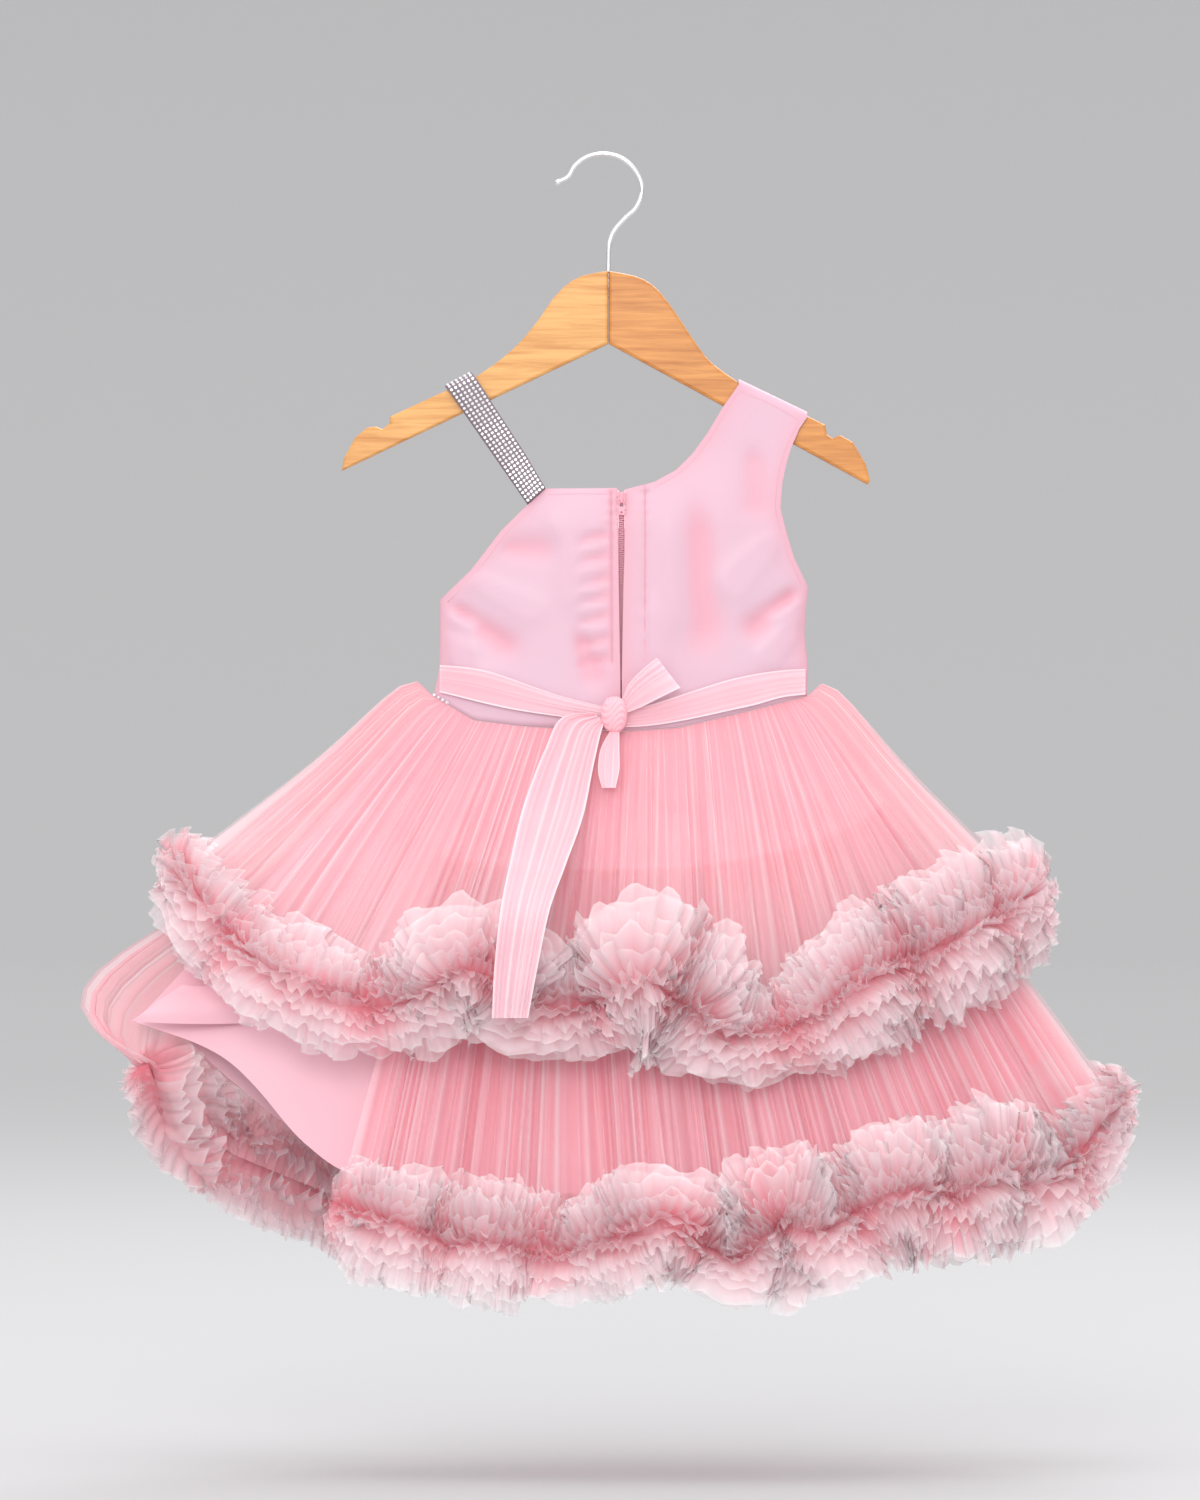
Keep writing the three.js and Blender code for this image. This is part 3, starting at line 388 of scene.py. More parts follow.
def satin_material(name, pale, pink, deep):
    """Satin: smooth, with a soft broad gleam, a faint weave, pinker drifts of colour, and painted
    shade: the deep colour, mixed in by the mesh's shade attribute.
    """
    material, nodes, links, shader = bare_material(name)
    place = nodes.new("ShaderNodeTexCoord")
    drift = nodes.new("ShaderNodeTexNoise")
    drift.inputs["Scale"].default_value = 9
    drift.inputs["Detail"].default_value = 1
    links.new(place.outputs["Object"], drift.inputs["Vector"])
    tone = nodes.new("ShaderNodeValToRGB")
    tone.color_ramp.elements[0].position = 0.25
    tone.color_ramp.elements[0].color = colour(pink)
    tone.color_ramp.elements[1].position = 0.68
    tone.color_ramp.elements[1].color = colour(pale)
    links.new(drift.outputs["Fac"], tone.inputs["Fac"])
    # Painted shade: the mesh's shade attribute mixes the deep colour into the tone where shade would
    # fall.
    hollow_shade = nodes.new("ShaderNodeAttribute")
    hollow_shade.attribute_name = "hollow_shade"
    pinker = nodes.new("ShaderNodeMix")
    pinker.data_type = "RGBA"
    links.new(hollow_shade.outputs["Fac"], pinker.inputs["Factor"])
    links.new(tone.outputs["Color"], pinker.inputs[6])
    pinker.inputs[7].default_value = colour(deep)
    links.new(pinker.outputs[2], shader.inputs["Base Color"])
    weave = nodes.new("ShaderNodeTexWave")
    weave.inputs["Scale"].default_value = 900
    weave.inputs["Distortion"].default_value = 2
    links.new(place.outputs["Object"], weave.inputs["Vector"])
    rough = nodes.new("ShaderNodeMapRange")
    rough.inputs["To Min"].default_value = 0.42
    rough.inputs["To Max"].default_value = 0.52
    links.new(drift.outputs["Fac"], rough.inputs["Value"])
    links.new(rough.outputs["Result"], shader.inputs["Roughness"])
    relief = nodes.new("ShaderNodeBump")
    relief.inputs["Strength"].default_value = 0.05
    relief.inputs["Distance"].default_value = 0.1 * MM
    links.new(weave.outputs["Fac"], relief.inputs["Height"])
    links.new(relief.outputs["Normal"], shader.inputs["Normal"])
    shader.inputs["Sheen Weight"].default_value = 0.3
    shader.inputs["Sheen Roughness"].default_value = 0.4
    shader.inputs["Specular IOR Level"].default_value = 0.35
    return material


# The third colour is painted shade, mixed in at sunk creases and along the panels' edges.
satin = satin_material("bodice_satin", "D4B4C3", "D5AEBD", "DE9AA9")


def bodice_shell(name, rows, side, at_shoulder, columns=72, steps=7):
    """The panel's outer face, from the same rows as its solid, with creases and stitched edges."""
    table = np.array(rows, float)
    at = np.linspace(0, len(table) - 1, (len(table) - 1) * steps + 1)
    fine = np.stack([np.interp(at, range(len(table)), table[:, k]) for k in range(4)], axis=1)
    share = (1 - np.cos(math.pi * np.linspace(0, 1, columns + 1))) / 2
    x = fine[:, :1] + (fine[:, 2:3] - fine[:, :1]) * share
    z = fine[:, 1:2] + (fine[:, 3:] - fine[:, 1:2]) * share
    lift = np.clip(1 - at / 2, 0, 1)[:, None]
    z = z + lift * (waist_z(x) - z[0])
    reach = bodice_reach(x, z)
    edge = np.minimum(share, 1 - share) * (fine[:, 2:3] - fine[:, :1])
    calm = np.clip(edge / 12, 0, 1) * np.clip((-155 - z) / 25, 0, 1)
    raised = CREASE_DEPTH * crease_height(x, z, CREASES[name]) * calm
    if name in ZIP_STITCHES:
        near = np.abs(x - ZIP_STITCHES[name])
        pucker = 0.35 * np.sin(z * 0.9) * np.exp(-((near / 5) ** 2))
        held = np.clip((z + 345) / 15, 0, 1)
        raised += held * (pucker - 0.7 * np.exp(-((near / 1.3) ** 2)))
    grid = np.stack([x, side * (reach + np.minimum(raised, 1.2)), z], axis=2)
    if at_shoulder:
        over = [
            np.stack([x[-1], np.full_like(x[-1], side * r), z[-1] + up], axis=1) for r, up in OVER_ARM
        ]
        grid = np.concatenate([grid, np.array(over)])
    points = grid.reshape(-1, 3) * MM
    faces = grid_faces(grid.shape[0], grid.shape[1])
    if side > 0:
        faces = [face[::-1] for face in faces]
    shell = mesh_object(name + "_satin", points, faces)
    # Painted shade: deeper pink in sunk creases and along the panel's edges, stored on the shell for the
    # satin to mix in.
    deep = np.zeros(grid.shape[:2])
    painted_shade = 0.7 * np.clip(-raised / 2.4, 0, 1) + 0.55 * np.exp(-edge / 9)
    deep[: len(raised)] = np.clip(painted_shade, 0, 1)
    hollow_shade = shell.data.attributes.new("hollow_shade", "FLOAT", "POINT")
    hollow_shade.data.foreach_set("value", deep.ravel().astype(np.float32))
    cloth = shell.modifiers.new("cloth", "SOLIDIFY")
    cloth.thickness = SATIN_THICK * MM
    cloth.offset = -1
    shell.data.materials.append(satin)
    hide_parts(name)
    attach(shell, "dress")
    return shell


back_left = bodice_shell("bodice_back_left", BACK_LEFT, -1, False)
back_right = bodice_shell("bodice_back_right", BACK_RIGHT, -1, True)
front = bodice_shell("bodice_front", FRONT, 1, True)

# Strap: a narrow band of grey mesh with six rows of small cut stones in silver cups sewn on it.
# It runs from the top of the back, over the left arm of the hanger, to the top of the front.
STRAP = [
    (-53.6, -232.2, -41.7, -221.4, 13.6), (-70, -208.6, -55.6, -198, 10.8),
    (-88, -182.8, -72, -172.8, 9.2), (-104.6, -159, -87, -149.6, 8.2),
    (-106.4, -156.6, -88.8, -147.2, 8.0), (-107.8, -154.6, -90.2, -145.2, 5.0),
    (-108.6, -153.8, -91, -144.4, 0),
]
STONE_ROWS = 6
STONE_STEP = 3.0
STONE_RADIUS = 1.28
CUP_RADIUS = 1.42
STONE_SIDES = 8
STONE_TILT = 0.06
BAND_THICK = 0.7
BAND_STEPS = 120
half = np.array(STRAP, float)
half[:, 4] *= -1
strap_line = np.vstack([half, half[-2::-1] * np.array([1, 1, 1, 1, -1])])
strap_way = np.cumsum([0, *np.linalg.norm(np.diff(strap_line[:, [0, 1, 4]], axis=0), axis=1)])


def on_strap(way, across):
    """A place on the strap's outer face: way along it in millimetres, across from 0 to 1."""
    row = np.array([np.interp(way, strap_way, strap_line[:, k]) for k in range(5)])
    x = row[0] + (row[2] - row[0]) * across
    z = row[1] + (row[3] - row[1]) * across
    return np.array([x, row[4], z])


strap_steps = np.linspace(0, strap_way[-1], BAND_STEPS)
strap_points = [on_strap(way, across) for way in strap_steps for across in (0, 0.5, 1)]
strap_band = mesh_object("strap_band", np.array(strap_points) * MM, grid_faces(BAND_STEPS, 3))
strap_cloth = strap_band.modifiers.new("cloth", "SOLIDIFY")
strap_cloth.thickness = BAND_THICK * MM
strap_cloth.offset = 1
strap_mesh, nodes, links, shader = bare_material("strap_mesh")
speckle(nodes, links, shader, "ShaderNodeTexNoise", 900, "5E5157", "9B8C93")
shader.inputs["Roughness"].default_value = 0.7
strap_band.data.materials.append(strap_mesh)

silver, nodes, links, shader = bare_material("cup_silver")
shader.inputs["Metallic"].default_value = 0.6
speckle(nodes, links, shader, "ShaderNodeTexNoise", 400, "A9A4AC", "F2F0F5")
shader.inputs["Roughness"].default_value = 0.3
sparkle, nodes, links, shader = bare_material("stone_glass")
place = nodes.new("ShaderNodeTexCoord")
# Painted glints: white and grey patches on each stone stand in for light flashing off its facets.
facet_glints = speckle(nodes, links, shader, "ShaderNodeTexVoronoi", 1500, "C9C6D2", "FFFFFF", "Color")
links.new(place.outputs["Object"], facet_glints.inputs["Vector"])
shader.inputs["Metallic"].default_value = 0.1
shader.inputs["Roughness"].default_value = 0.08
shader.inputs["Coat Weight"].default_value = 1


def set_stones(name, places, rng):
    """Cut stones in silver cups, each at a place with the way along its row and the way out."""
    pieces = []
    for kind, material, radius, low, high, table in (
        ("cups", silver, CUP_RADIUS, 0.0, 0.55, 0.86),
        ("stones", sparkle, STONE_RADIUS, 0.45, 1.25, 0.56),
    ):
        points, faces = [], []
        for at, along, out in places:
            along = along / np.linalg.norm(along)
            out = out / np.linalg.norm(out)
            sideways = np.cross(along, out)
            tilt = rng.normal(0, STONE_TILT, 2)
            out = out + tilt[0] * along + tilt[1] * sideways
            first = len(points)
            for ring_radius, height in ((radius, low), (radius * table, high)):
                for m in range(STONE_SIDES):
                    a = 2 * math.pi * (m + 0.5) / STONE_SIDES
                    around = math.cos(a) * along + math.sin(a) * sideways
                    points.append((at + ring_radius * around + height * out) * MM)
            upper = first + STONE_SIDES
            for m in range(STONE_SIDES):
                b = (m + 1) % STONE_SIDES
                faces.append((first + m, first + b, upper + b, upper + m))
            faces.append(tuple(upper + m for m in range(STONE_SIDES)))
            faces.append(tuple(upper - 1 - m for m in range(STONE_SIDES)))
        piece = mesh_object(name + "_" + kind, points, faces, smooth=False)
        piece.data.materials.append(material)
        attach(piece, "dress")
        pieces.append(piece)
    return pieces


strap_places = []
for n in range(int(strap_way[-1] / STONE_STEP)):
    for k in range(STONE_ROWS):
        way = (n + 0.5) * STONE_STEP
        across = (k + 0.62) / (STONE_ROWS + 0.24)
        at = on_strap(way, across)
        along = on_strap(way + 0.5, across) - on_strap(way - 0.5, across)
        sideways = on_strap(way, across + 0.1) - on_strap(way, across - 0.1)
        out = np.cross(sideways, along)
        strap_places.append((at, along, out if out[1] * at[1] + 3 * out[2] > 0 else -out))
strap_pieces = set_stones("strap", strap_places, np.random.default_rng(4))
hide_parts("stone_strap")
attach(strap_band, "dress")

# Waist trim: the last few stones of a row that runs along the front's waist seam, turned round
# the left side seam to the back.
TRIM_X = (-115.4, -112.6, -109.8, -107.0)
TRIM_RISE = 1.2
TRIM_ALONG = np.array([0.86, 0, -0.5])
TRIM_OUT = np.array([-0.6, -1, -0.2])
trim_places = []
for x in TRIM_X:
    z = waist_z(x) + TRIM_RISE
    trim_places.append((np.array([x, -bodice_reach(x, z), z]), TRIM_ALONG, TRIM_OUT))
set_stones("waist_trim", trim_places, np.random.default_rng(5))

# Zip: two woven tapes sewn under the edges of the slit, a coil of nylon teeth between them, and
# a painted slider whose pull tab hangs from a bridge.
ZIP_X = 9
ZIP_SPAN = (-349, -233)
TOOTH_STEP = 1.25
TOOTH_BACK = 2.7
TOOTH_CORNERS = ((-1.6, -0.5), (1.6, -0.2), (1.6, 0.4), (-1.6, 0.1))
TOOTH_HALF = 0.75
SLIDER_ROUND = 0.16 * MM
for node in ("zip_slider", "zip_pull"):
    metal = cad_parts[node]
    edges = metal.modifiers.new("soft_edges", "BEVEL")
    edges.width = SLIDER_ROUND
    edges.segments = 2
zip_paint, nodes, links, shader = bare_material("zip_paint")
place = nodes.new("ShaderNodeTexCoord")
wear = speckle(nodes, links, shader, "ShaderNodeTexNoise", 700, "E58FA2", "F4B4C2")
links.new(place.outputs["Object"], wear.inputs["Vector"])
shader.inputs["Roughness"].default_value = 0.32
shader.inputs["Coat Weight"].default_value = 0.4
for node in ("zip_slider", "zip_pull", "zip_tape_left", "zip_tape_right"):
    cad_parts[node].data.materials.clear()
    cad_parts[node].data.materials.append(zip_paint)
tooth_points, tooth_faces = [], []
count = int((ZIP_SPAN[1] - ZIP_SPAN[0]) / TOOTH_STEP)
for n in range(count):
    z = ZIP_SPAN[0] + n * TOOTH_STEP
    side = 1 if n % 2 else -1
    first = len(tooth_points)
    y = TOOTH_BACK - bodice_reach(ZIP_X, z)
    for dx, dz in TOOTH_CORNERS:
        for deep in (-TOOTH_HALF, TOOTH_HALF):
            tooth_points.append(np.array([ZIP_X + side * dx, y + deep, z + dz]) * MM)
    for a, b in ((0, 2), (2, 4), (4, 6), (6, 0)):
        tooth_faces.append((first + a, first + a + 1, first + b + 1, first + b))
    tooth_faces.append((first, first + 2, first + 4, first + 6))
    tooth_faces.append((first + 7, first + 5, first + 3, first + 1))
teeth = mesh_object("zip_teeth", tooth_points, tooth_faces, smooth=False)
teeth.data.materials.append(zip_paint)
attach(teeth, "dress")

# Stitches: rows of pink thread that hold the turned edges beside the zip, along the neck and the
# armholes, and on the shoulder.
STITCH_LONG = 2.2
STITCH_GAP = 0.9
STITCH_THICK = 0.32
STITCH_HEIGHT = 0.45
STITCH_SUNK = 0.15
stitch_points, stitch_faces = [], []


def stitch_row(line, side):
    """Thread along a line of (x, z) places in millimetres, lying on the bodice's outer face."""
    length = np.linalg.norm(np.diff(np.array(line), axis=0), axis=1).sum()
    way = smooth_line(line, max(2, int(length / (STITCH_LONG + STITCH_GAP))))
    for a, b in zip(way[:-1], way[1:]):
        b = a + (b - a) * STITCH_LONG / (STITCH_LONG + STITCH_GAP)
        along = (b - a) / np.linalg.norm(b - a)
        off = np.array([-along[1], along[0]]) * STITCH_THICK
        first = len(stitch_points)
        for end in (a, b):
            for across, lift in ((-1, 0), (0, STITCH_HEIGHT), (1, 0)):
                x, z = end + off * across
                y = side * (bodice_reach(x, z) + lift - STITCH_SUNK)
                stitch_points.append(np.array([x, y, z]) * MM)
        stitch_faces.append((first, first + 1, first + 4, first + 3))
        stitch_faces.append((first + 1, first + 2, first + 5, first + 4))


STITCH_LINES = [
    [(24.7, -221), (24.7, -280), (24.4, -338)],
    [(2.0, -224), (2.2, -280), (2.6, -338)],
    [(-40, -226), (-20, -225.5), (0, -225.5)],
    [(-107, -297.5), (-87, -277), (-66, -250), (-50, -235)],
    [(31, -221), (44, -214), (56, -204), (68, -188.5), (80, -168), (87, -157)],
    [(88, -157), (108, -165.5), (127, -176)],
    [
        (127, -178), (121, -189), (115.5, -204), (112.5, -220), (111.5, -234), (115, -250),
        (121, -268), (129, -286),
    ],
]
for line in STITCH_LINES:
    stitch_row(line, -1)
thread = mesh_object("zip_stitches", stitch_points, stitch_faces)
thread_pink, nodes, links, shader = bare_material("thread")
speckle(nodes, links, shader, "ShaderNodeTexNoise", 2500, "DF93A3", "F0B3C0")
shader.inputs["Roughness"].default_value = 0.6
thread.data.materials.append(thread_pink)
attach(thread, "dress")

# Skirt lining: an opaque pink satin underskirt, flared, sewn into the waist seam. On the left
# its hem has folded up and out, so that a bare corner of satin shows.
LAYER_GAP = 1.6
LINING_INSET = 2.4
LINING_COLUMNS = 160
LINING_FOLD = 4
LINING_FOLDS = 9
LINING_BACK_HEM = [
    (-315, 0.15, -577), (-253, 16, -603), (-202, 32, -656), (-172, 42, -676), (-100, 56, -688),
    (0, 64, -688), (100, 60, -688), (200, 44, -668), (258, 24, -632), (297, 0.15, -592),
]
LINING_FRONT_HEM = [
    (-300, 0.15, -570), (-252, 16, -618), (-200, 30, -656), (-100, 54, -686), (0, 62, -686),
    (100, 58, -686), (200, 42, -668), (258, 24, -632), (297, 0.15, -592),
]
LINING_CORNER = [
    [(-247, -14, -548), (-262, -15, -552), (-276, -16, -553), (-283, -15.5, -552)],
    [(-242, -17, -559), (-264, -19, -562), (-284, -20, -563), (-300, -18, -563.5)],
    [(-236, -18, -569), (-264, -20.5, -571), (-290, -21, -571.5), (-311, -19, -572)],
    [(-229, -17, -577), (-262, -19.5, -578), (-294, -20, -577.5), (-317, -17.5, -576)],
]
CORNER_ALONG, CORNER_DOWN = 24, 18
OUT_WEIGHTS = np.array([1 / 900, 1 / 80, 0])
PUFF_SHARE = 0.14
PUFF_PEAK = 0.12
POUF_SHARE = 0.16
POUF_WIDTH = 78


def waist_ring(t, side, inset):
    """Half the waist seam, from the left side seam at t = 0 to the right one at t = 1."""
    angle = math.pi * (t - 0.5)
    left, right = SIDES[0][1] + inset, SIDES[0][2] - inset
    x = (left + right) / 2 + (right - left) / 2 * np.sin(angle)
    y = SEAM / 2 + (BODICE_DEPTH - inset) * np.cos(angle)
    return np.stack([x, side * y, waist_z(x) - SEAM], axis=1)


def outward_of(points):
    """The level way out of the skirt at each point, mostly to the front or the back."""
    out = points * OUT_WEIGHTS
    return out / np.maximum(np.linalg.norm(out, axis=-1, keepdims=True), 1e-9)


def random_folds(t, count, rng):
    """Folds of uneven width: how deep each place lies, and a thin painted highlight line on some crests.
    """
    widths = rng.uniform(0.3, 1.7, count)
    ends = np.concatenate([[0], np.cumsum(widths) / widths.sum()])
    phase = np.interp(t, ends, np.arange(count + 1))
    each = np.minimum(phase.astype(int), count - 1)
    depth = np.interp(t, ends, rng.uniform(0.15, 1.0, count + 1))
    wave = 0.5 - 0.5 * np.cos(2 * math.pi * phase)
    bright = rng.uniform(0, 1, count)[each] ** 1.5
    return depth * wave, (1 - wave) ** 9 * bright


def layer_grid(
    top, hem, side, columns, downs, swell=0, fold=5, folds=40, seed=1, pouf=0, inset=0, puff=0
):
    """Half a skirt layer that hangs from the line top to the line hem: its points, the painted
    highlight lines on its folds, and how deep each place lies, which also sets painted shade in
    the troughs. pouf widens its left, puff lifts its sides."""
    rng = np.random.default_rng(seed)
    t = np.linspace(0, 1, columns + 1)
    high = top(t)
    low = smooth_line([(x, side * reach, z) for x, reach, z in hem], columns)
    down = np.array(downs)[:, None, None]
    grid = high[None] * (1 - down) + low[None] * down
    out = outward_of(grid)
    bulge = np.sin(math.pi * down[..., 0])
    lean = np.linspace(0, 1, len(downs))[:, None]
    drift = np.interp(t, np.linspace(0, 1, 14), rng.normal(0, 0.011, 14))
    laid = np.clip(t + lean * drift, 0, 1)
    wide, _ = random_folds(laid, max(3, folds // 4), rng)
    coarse, crest = random_folds(laid, folds, rng)
    fine, line = random_folds(laid, int(folds * 2.3), rng)
    depth = 0.5 * wide + 0.38 * coarse + 0.12 * fine
    move = swell * bulge - fold * lean**0.8 * depth - inset * np.minimum(1, 3 * lean)
    grid = grid + out * move[..., None]
    near = np.clip(1 - t / POUF_SHARE, 0, 1)
    near = near**2 * (3 - 2 * near)
    grid[..., 0] -= pouf * np.sin(math.pi * down[..., 0] ** 2) * near[None]
    beside = np.clip(1 - np.minimum(t, 1 - t) / PUFF_SHARE, 0, 1)
    peak = down[..., 0] / PUFF_PEAK
    grid[..., 2] += puff * peak * np.exp(1 - peak) * beside[None]
    grid[..., 1] = side * np.maximum(side * grid[..., 1], SEAM / 2)
    # The depth is also stored as painted shade: deeper pink in the folds' troughs.
    return grid, np.maximum(crest, 0.6 * line), depth


def strips_object(name, grids, edges, crests, hollow_shades=None):
    """One mesh of several grids. edge runs from 0 at the sewn edge to 1 and sets painted shade
    near the sewn edge; crest is 1 on folds and marks painted highlights; the third value marks
    painted shade in troughs.
    """
    points, faces, edge, crest, hollow_shade = [], [], [], [], []
    for grid, share, line, deep in zip(grids, edges, crests, hollow_shades or [0] * len(grids)):
        faces += grid_faces(grid.shape[0], grid.shape[1], len(points))
        points += list(grid.reshape(-1, 3) * MM)
        edge += list(np.repeat(share, grid.shape[1]))
        crest += list(np.broadcast_to(line, grid.shape[:2]).ravel())
        hollow_shade += list(np.broadcast_to(deep, grid.shape[:2]).ravel())
    piece = mesh_object(name, points, faces)
    for title, values in (("edge", edge), ("crest", crest), ("hollow_shade", hollow_shade)):
        attribute = piece.data.attributes.new(title, "FLOAT", "POINT")
        attribute.data.foreach_set("value", np.array(values, np.float32))
    return piece


lining_satin = satin_material("lining_satin", "EEC0CC", "EAB0BD", "E89EAC")
LINING_DOWNS = np.linspace(0, 1, 14)
for name, hem, side, seed in (
    ("lining_back", LINING_BACK_HEM, -1, 11),
    ("lining_front", LINING_FRONT_HEM, 1, 12),
):
    grid, crest, _ = layer_grid(
        lambda t: waist_ring(t, side, LINING_INSET), hem, side, LINING_COLUMNS, LINING_DOWNS,
        fold=LINING_FOLD, folds=LINING_FOLDS, seed=seed,
    )
    grids, shares, crests = [grid], [LINING_DOWNS], [crest]
    if side < 0:
        rows = np.array([smooth_line(line, CORNER_ALONG) for line in LINING_CORNER])
        columns = [smooth_line(rows[:, j], CORNER_DOWN) for j in range(CORNER_ALONG + 1)]
        grids.append(np.stack(columns, axis=1))
        shares.append(np.ones(CORNER_DOWN + 1))
        crests.append(np.zeros(CORNER_ALONG + 1))
    skirt = strips_object(name + "_satin", grids, shares, crests)
    skirt.data.materials.append(lining_satin)
    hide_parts(name)
    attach(skirt, "dress")

# Upper and lower tiers: fine soft net, cut as long strips and gathered. The upper tier is sewn
# into the waist seam, the lower one onto the lining. Each is two layers of net.
UPPER_BACK_HEM = [
    (-281, 0.15, -468, 38), (-262, 30, -505, 38), (-222, 56, -540, 38), (-160, 78, -563, 37),
    (-120, 85, -556, 39), (-96, 97, -540, 48), (-70, 96, -548, 48), (-54, 88, -564, 36),
    (-12, 90, -561, 41), (21, 102, -546, 58), (52, 92, -559, 54), (76, 85, -580, 38),
    (110, 81, -582, 37), (143, 76, -566, 43), (170, 70, -547, 50), (206, 58, -532, 52),
    (245, 38, -510, 52), (281, 0.15, -490, 44),
]
UPPER_FRONT_HEM = [
    (-281, 0.15, -468, 38), (-256, 32, -508, 38), (-205, 58, -540, 38), (-150, 76, -556, 38),
    (-95, 92, -538, 44), (-45, 86, -566, 38), (10, 100, -543, 44), (60, 86, -570, 38),
    (115, 88, -552, 42), (165, 72, -560, 38), (215, 56, -538, 40), (254, 34, -512, 42),
    (281, 0.15, -490, 44),
]
LOWER_BACK_HEM = [
    (-178, 74, -694, 34), (-140, 86, -708, 42), (-102, 92, -716, 43), (-55, 95, -721, 41),
    (-29, 96, -726, 34), (6, 97, -716, 42), (38, 106, -705, 40), (63, 98, -717, 42),
    (83, 95, -729, 34), (113, 100, -706, 60), (141, 98, -711, 46), (187, 86, -688, 50),
    (221, 76, -689, 48), (255, 60, -677, 54), (285, 42, -681, 46), (312, 24, -662, 40),
    (334, 0.15, -622, 36),
]
LOWER_FRONT_HEM = [
    (-305, 0.15, -604, 30), (-280, 28, -650, 36), (-220, 54, -682, 38), (-150, 74, -704, 40),
    (-90, 92, -694, 44), (-30, 88, -714, 40), (30, 100, -694, 44), (90, 88, -715, 40),
    (150, 86, -694, 44), (210, 70, -704, 40), (268, 48, -684, 42), (311, 26, -656, 40),
    (334, 0.15, -622, 36),
]
LOWER_START = 0.3
LOWER_GAP = 3.8
TIERS = [
    {"name": "upper_tier_back", "hem": UPPER_BACK_HEM, "side": -1, "swell": 7, "seed": 21,
     "puff": 20, "cut": (0.96, 0.26)},
    {"name": "upper_tier_front", "hem": UPPER_FRONT_HEM, "side": 1, "swell": 7, "seed": 31,
     "puff": 20, "cut": (0.96, 0.26)},
    {"name": "lower_tier_back", "hem": LOWER_BACK_HEM, "side": -1, "swell": 4, "seed": 41,
     "lining": LINING_BACK_HEM, "from": 0.24, "cut": (1.1, 0.28)},
    {"name": "lower_tier_front", "hem": LOWER_FRONT_HEM, "side": 1, "swell": 4, "seed": 51,
     "lining": LINING_FRONT_HEM, "from": 0, "pouf": POUF_WIDTH, "cut": (1.25, 0.29)},
]
TIER_DOWNS = np.concatenate([np.linspace(0, 0.18, 4), np.linspace(0.25, 1, 12)])
TIER_FOLD = 25
TIER_COLUMNS = 720
TIER_FOLDS = 46
NET_LAYERS = 2
NET_SPACING = 3


def lining_line(row):
    """Where a lower tier is sewn on: a line on the lining, moved out."""
    def top(t):
        along = row["from"] + (1 - row["from"]) * t
        high = waist_ring(along, row["side"], LINING_INSET)
        points = [(x, row["side"] * reach, z) for x, reach, z in row["lining"]]
        even = smooth_line(points, 400)
        low = np.stack([np.interp(along, np.linspace(0, 1, 401), even[:, k]) for k in range(3)], axis=1)
        line = high * (1 - LOWER_START) + low * LOWER_START
        return line + LOWER_GAP * outward_of(line)
    return top


def net_material(name, deep, pale, line, alpha):
    """Net: see-through and soft, with painted shade that deepens its pink towards the sewn edge
    and in troughs, paler towards its free edge, and palest along folds and rims, where
    highlights are painted.
    """
    material, nodes, links, shader = bare_material(name)
    place = nodes.new("ShaderNodeTexCoord")
    drift = nodes.new("ShaderNodeTexNoise")
    drift.inputs["Scale"].default_value = 45
    drift.inputs["Detail"].default_value = 1
    links.new(place.outputs["Object"], drift.inputs["Vector"])
    edge = nodes.new("ShaderNodeAttribute")
    edge.attribute_name = "edge"
    drifted = nodes.new("ShaderNodeMath")
    drifted.operation = "MULTIPLY_ADD"
    drifted.inputs[1].default_value = 0.25
    links.new(drift.outputs["Fac"], drifted.inputs[0])
    links.new(edge.outputs["Fac"], drifted.inputs[2])
    # Painted shade: the deep colour near the sewn edge and in troughs, paler towards the free edge.
    tone = nodes.new("ShaderNodeValToRGB")
    tone.color_ramp.elements[0].position = 0.1
    tone.color_ramp.elements[0].color = colour(deep)
    tone.color_ramp.elements[1].position = 0.95
    tone.color_ramp.elements[1].color = colour(pale)
    hollow_shade = nodes.new("ShaderNodeAttribute")
    hollow_shade.attribute_name = "hollow_shade"
    sunk = nodes.new("ShaderNodeMath")
    sunk.operation = "MULTIPLY_ADD"
    sunk.inputs[1].default_value = -0.6
    links.new(hollow_shade.outputs["Fac"], sunk.inputs[0])
    links.new(drifted.outputs["Value"], sunk.inputs[2])
    links.new(sunk.outputs["Value"], tone.inputs["Fac"])
    # Painted highlights: the line colour along the free edge's rim and on fold tops.
    rim = nodes.new("ShaderNodeMapRange")
    rim.inputs["From Min"].default_value = 0.93
    rim.inputs["From Max"].default_value = 1.0
    links.new(edge.outputs["Fac"], rim.inputs["Value"])
    crest = nodes.new("ShaderNodeAttribute")
    crest.attribute_name = "crest"
    bright = nodes.new("ShaderNodeMath")
    bright.operation = "MAXIMUM"
    links.new(rim.outputs["Result"], bright.inputs[0])
    links.new(crest.outputs["Fac"], bright.inputs[1])
    mixed = nodes.new("ShaderNodeMix")
    mixed.data_type = "RGBA"
    links.new(bright.outputs["Value"], mixed.inputs["Factor"])
    links.new(tone.outputs["Color"], mixed.inputs[6])
    mixed.inputs[7].default_value = colour(line)
    links.new(mixed.outputs[2], shader.inputs["Base Color"])
    shader.inputs["Alpha"].default_value = alpha
    shader.inputs["Roughness"].default_value = 0.75
    shader.inputs["Specular IOR Level"].default_value = 0.2
    return material


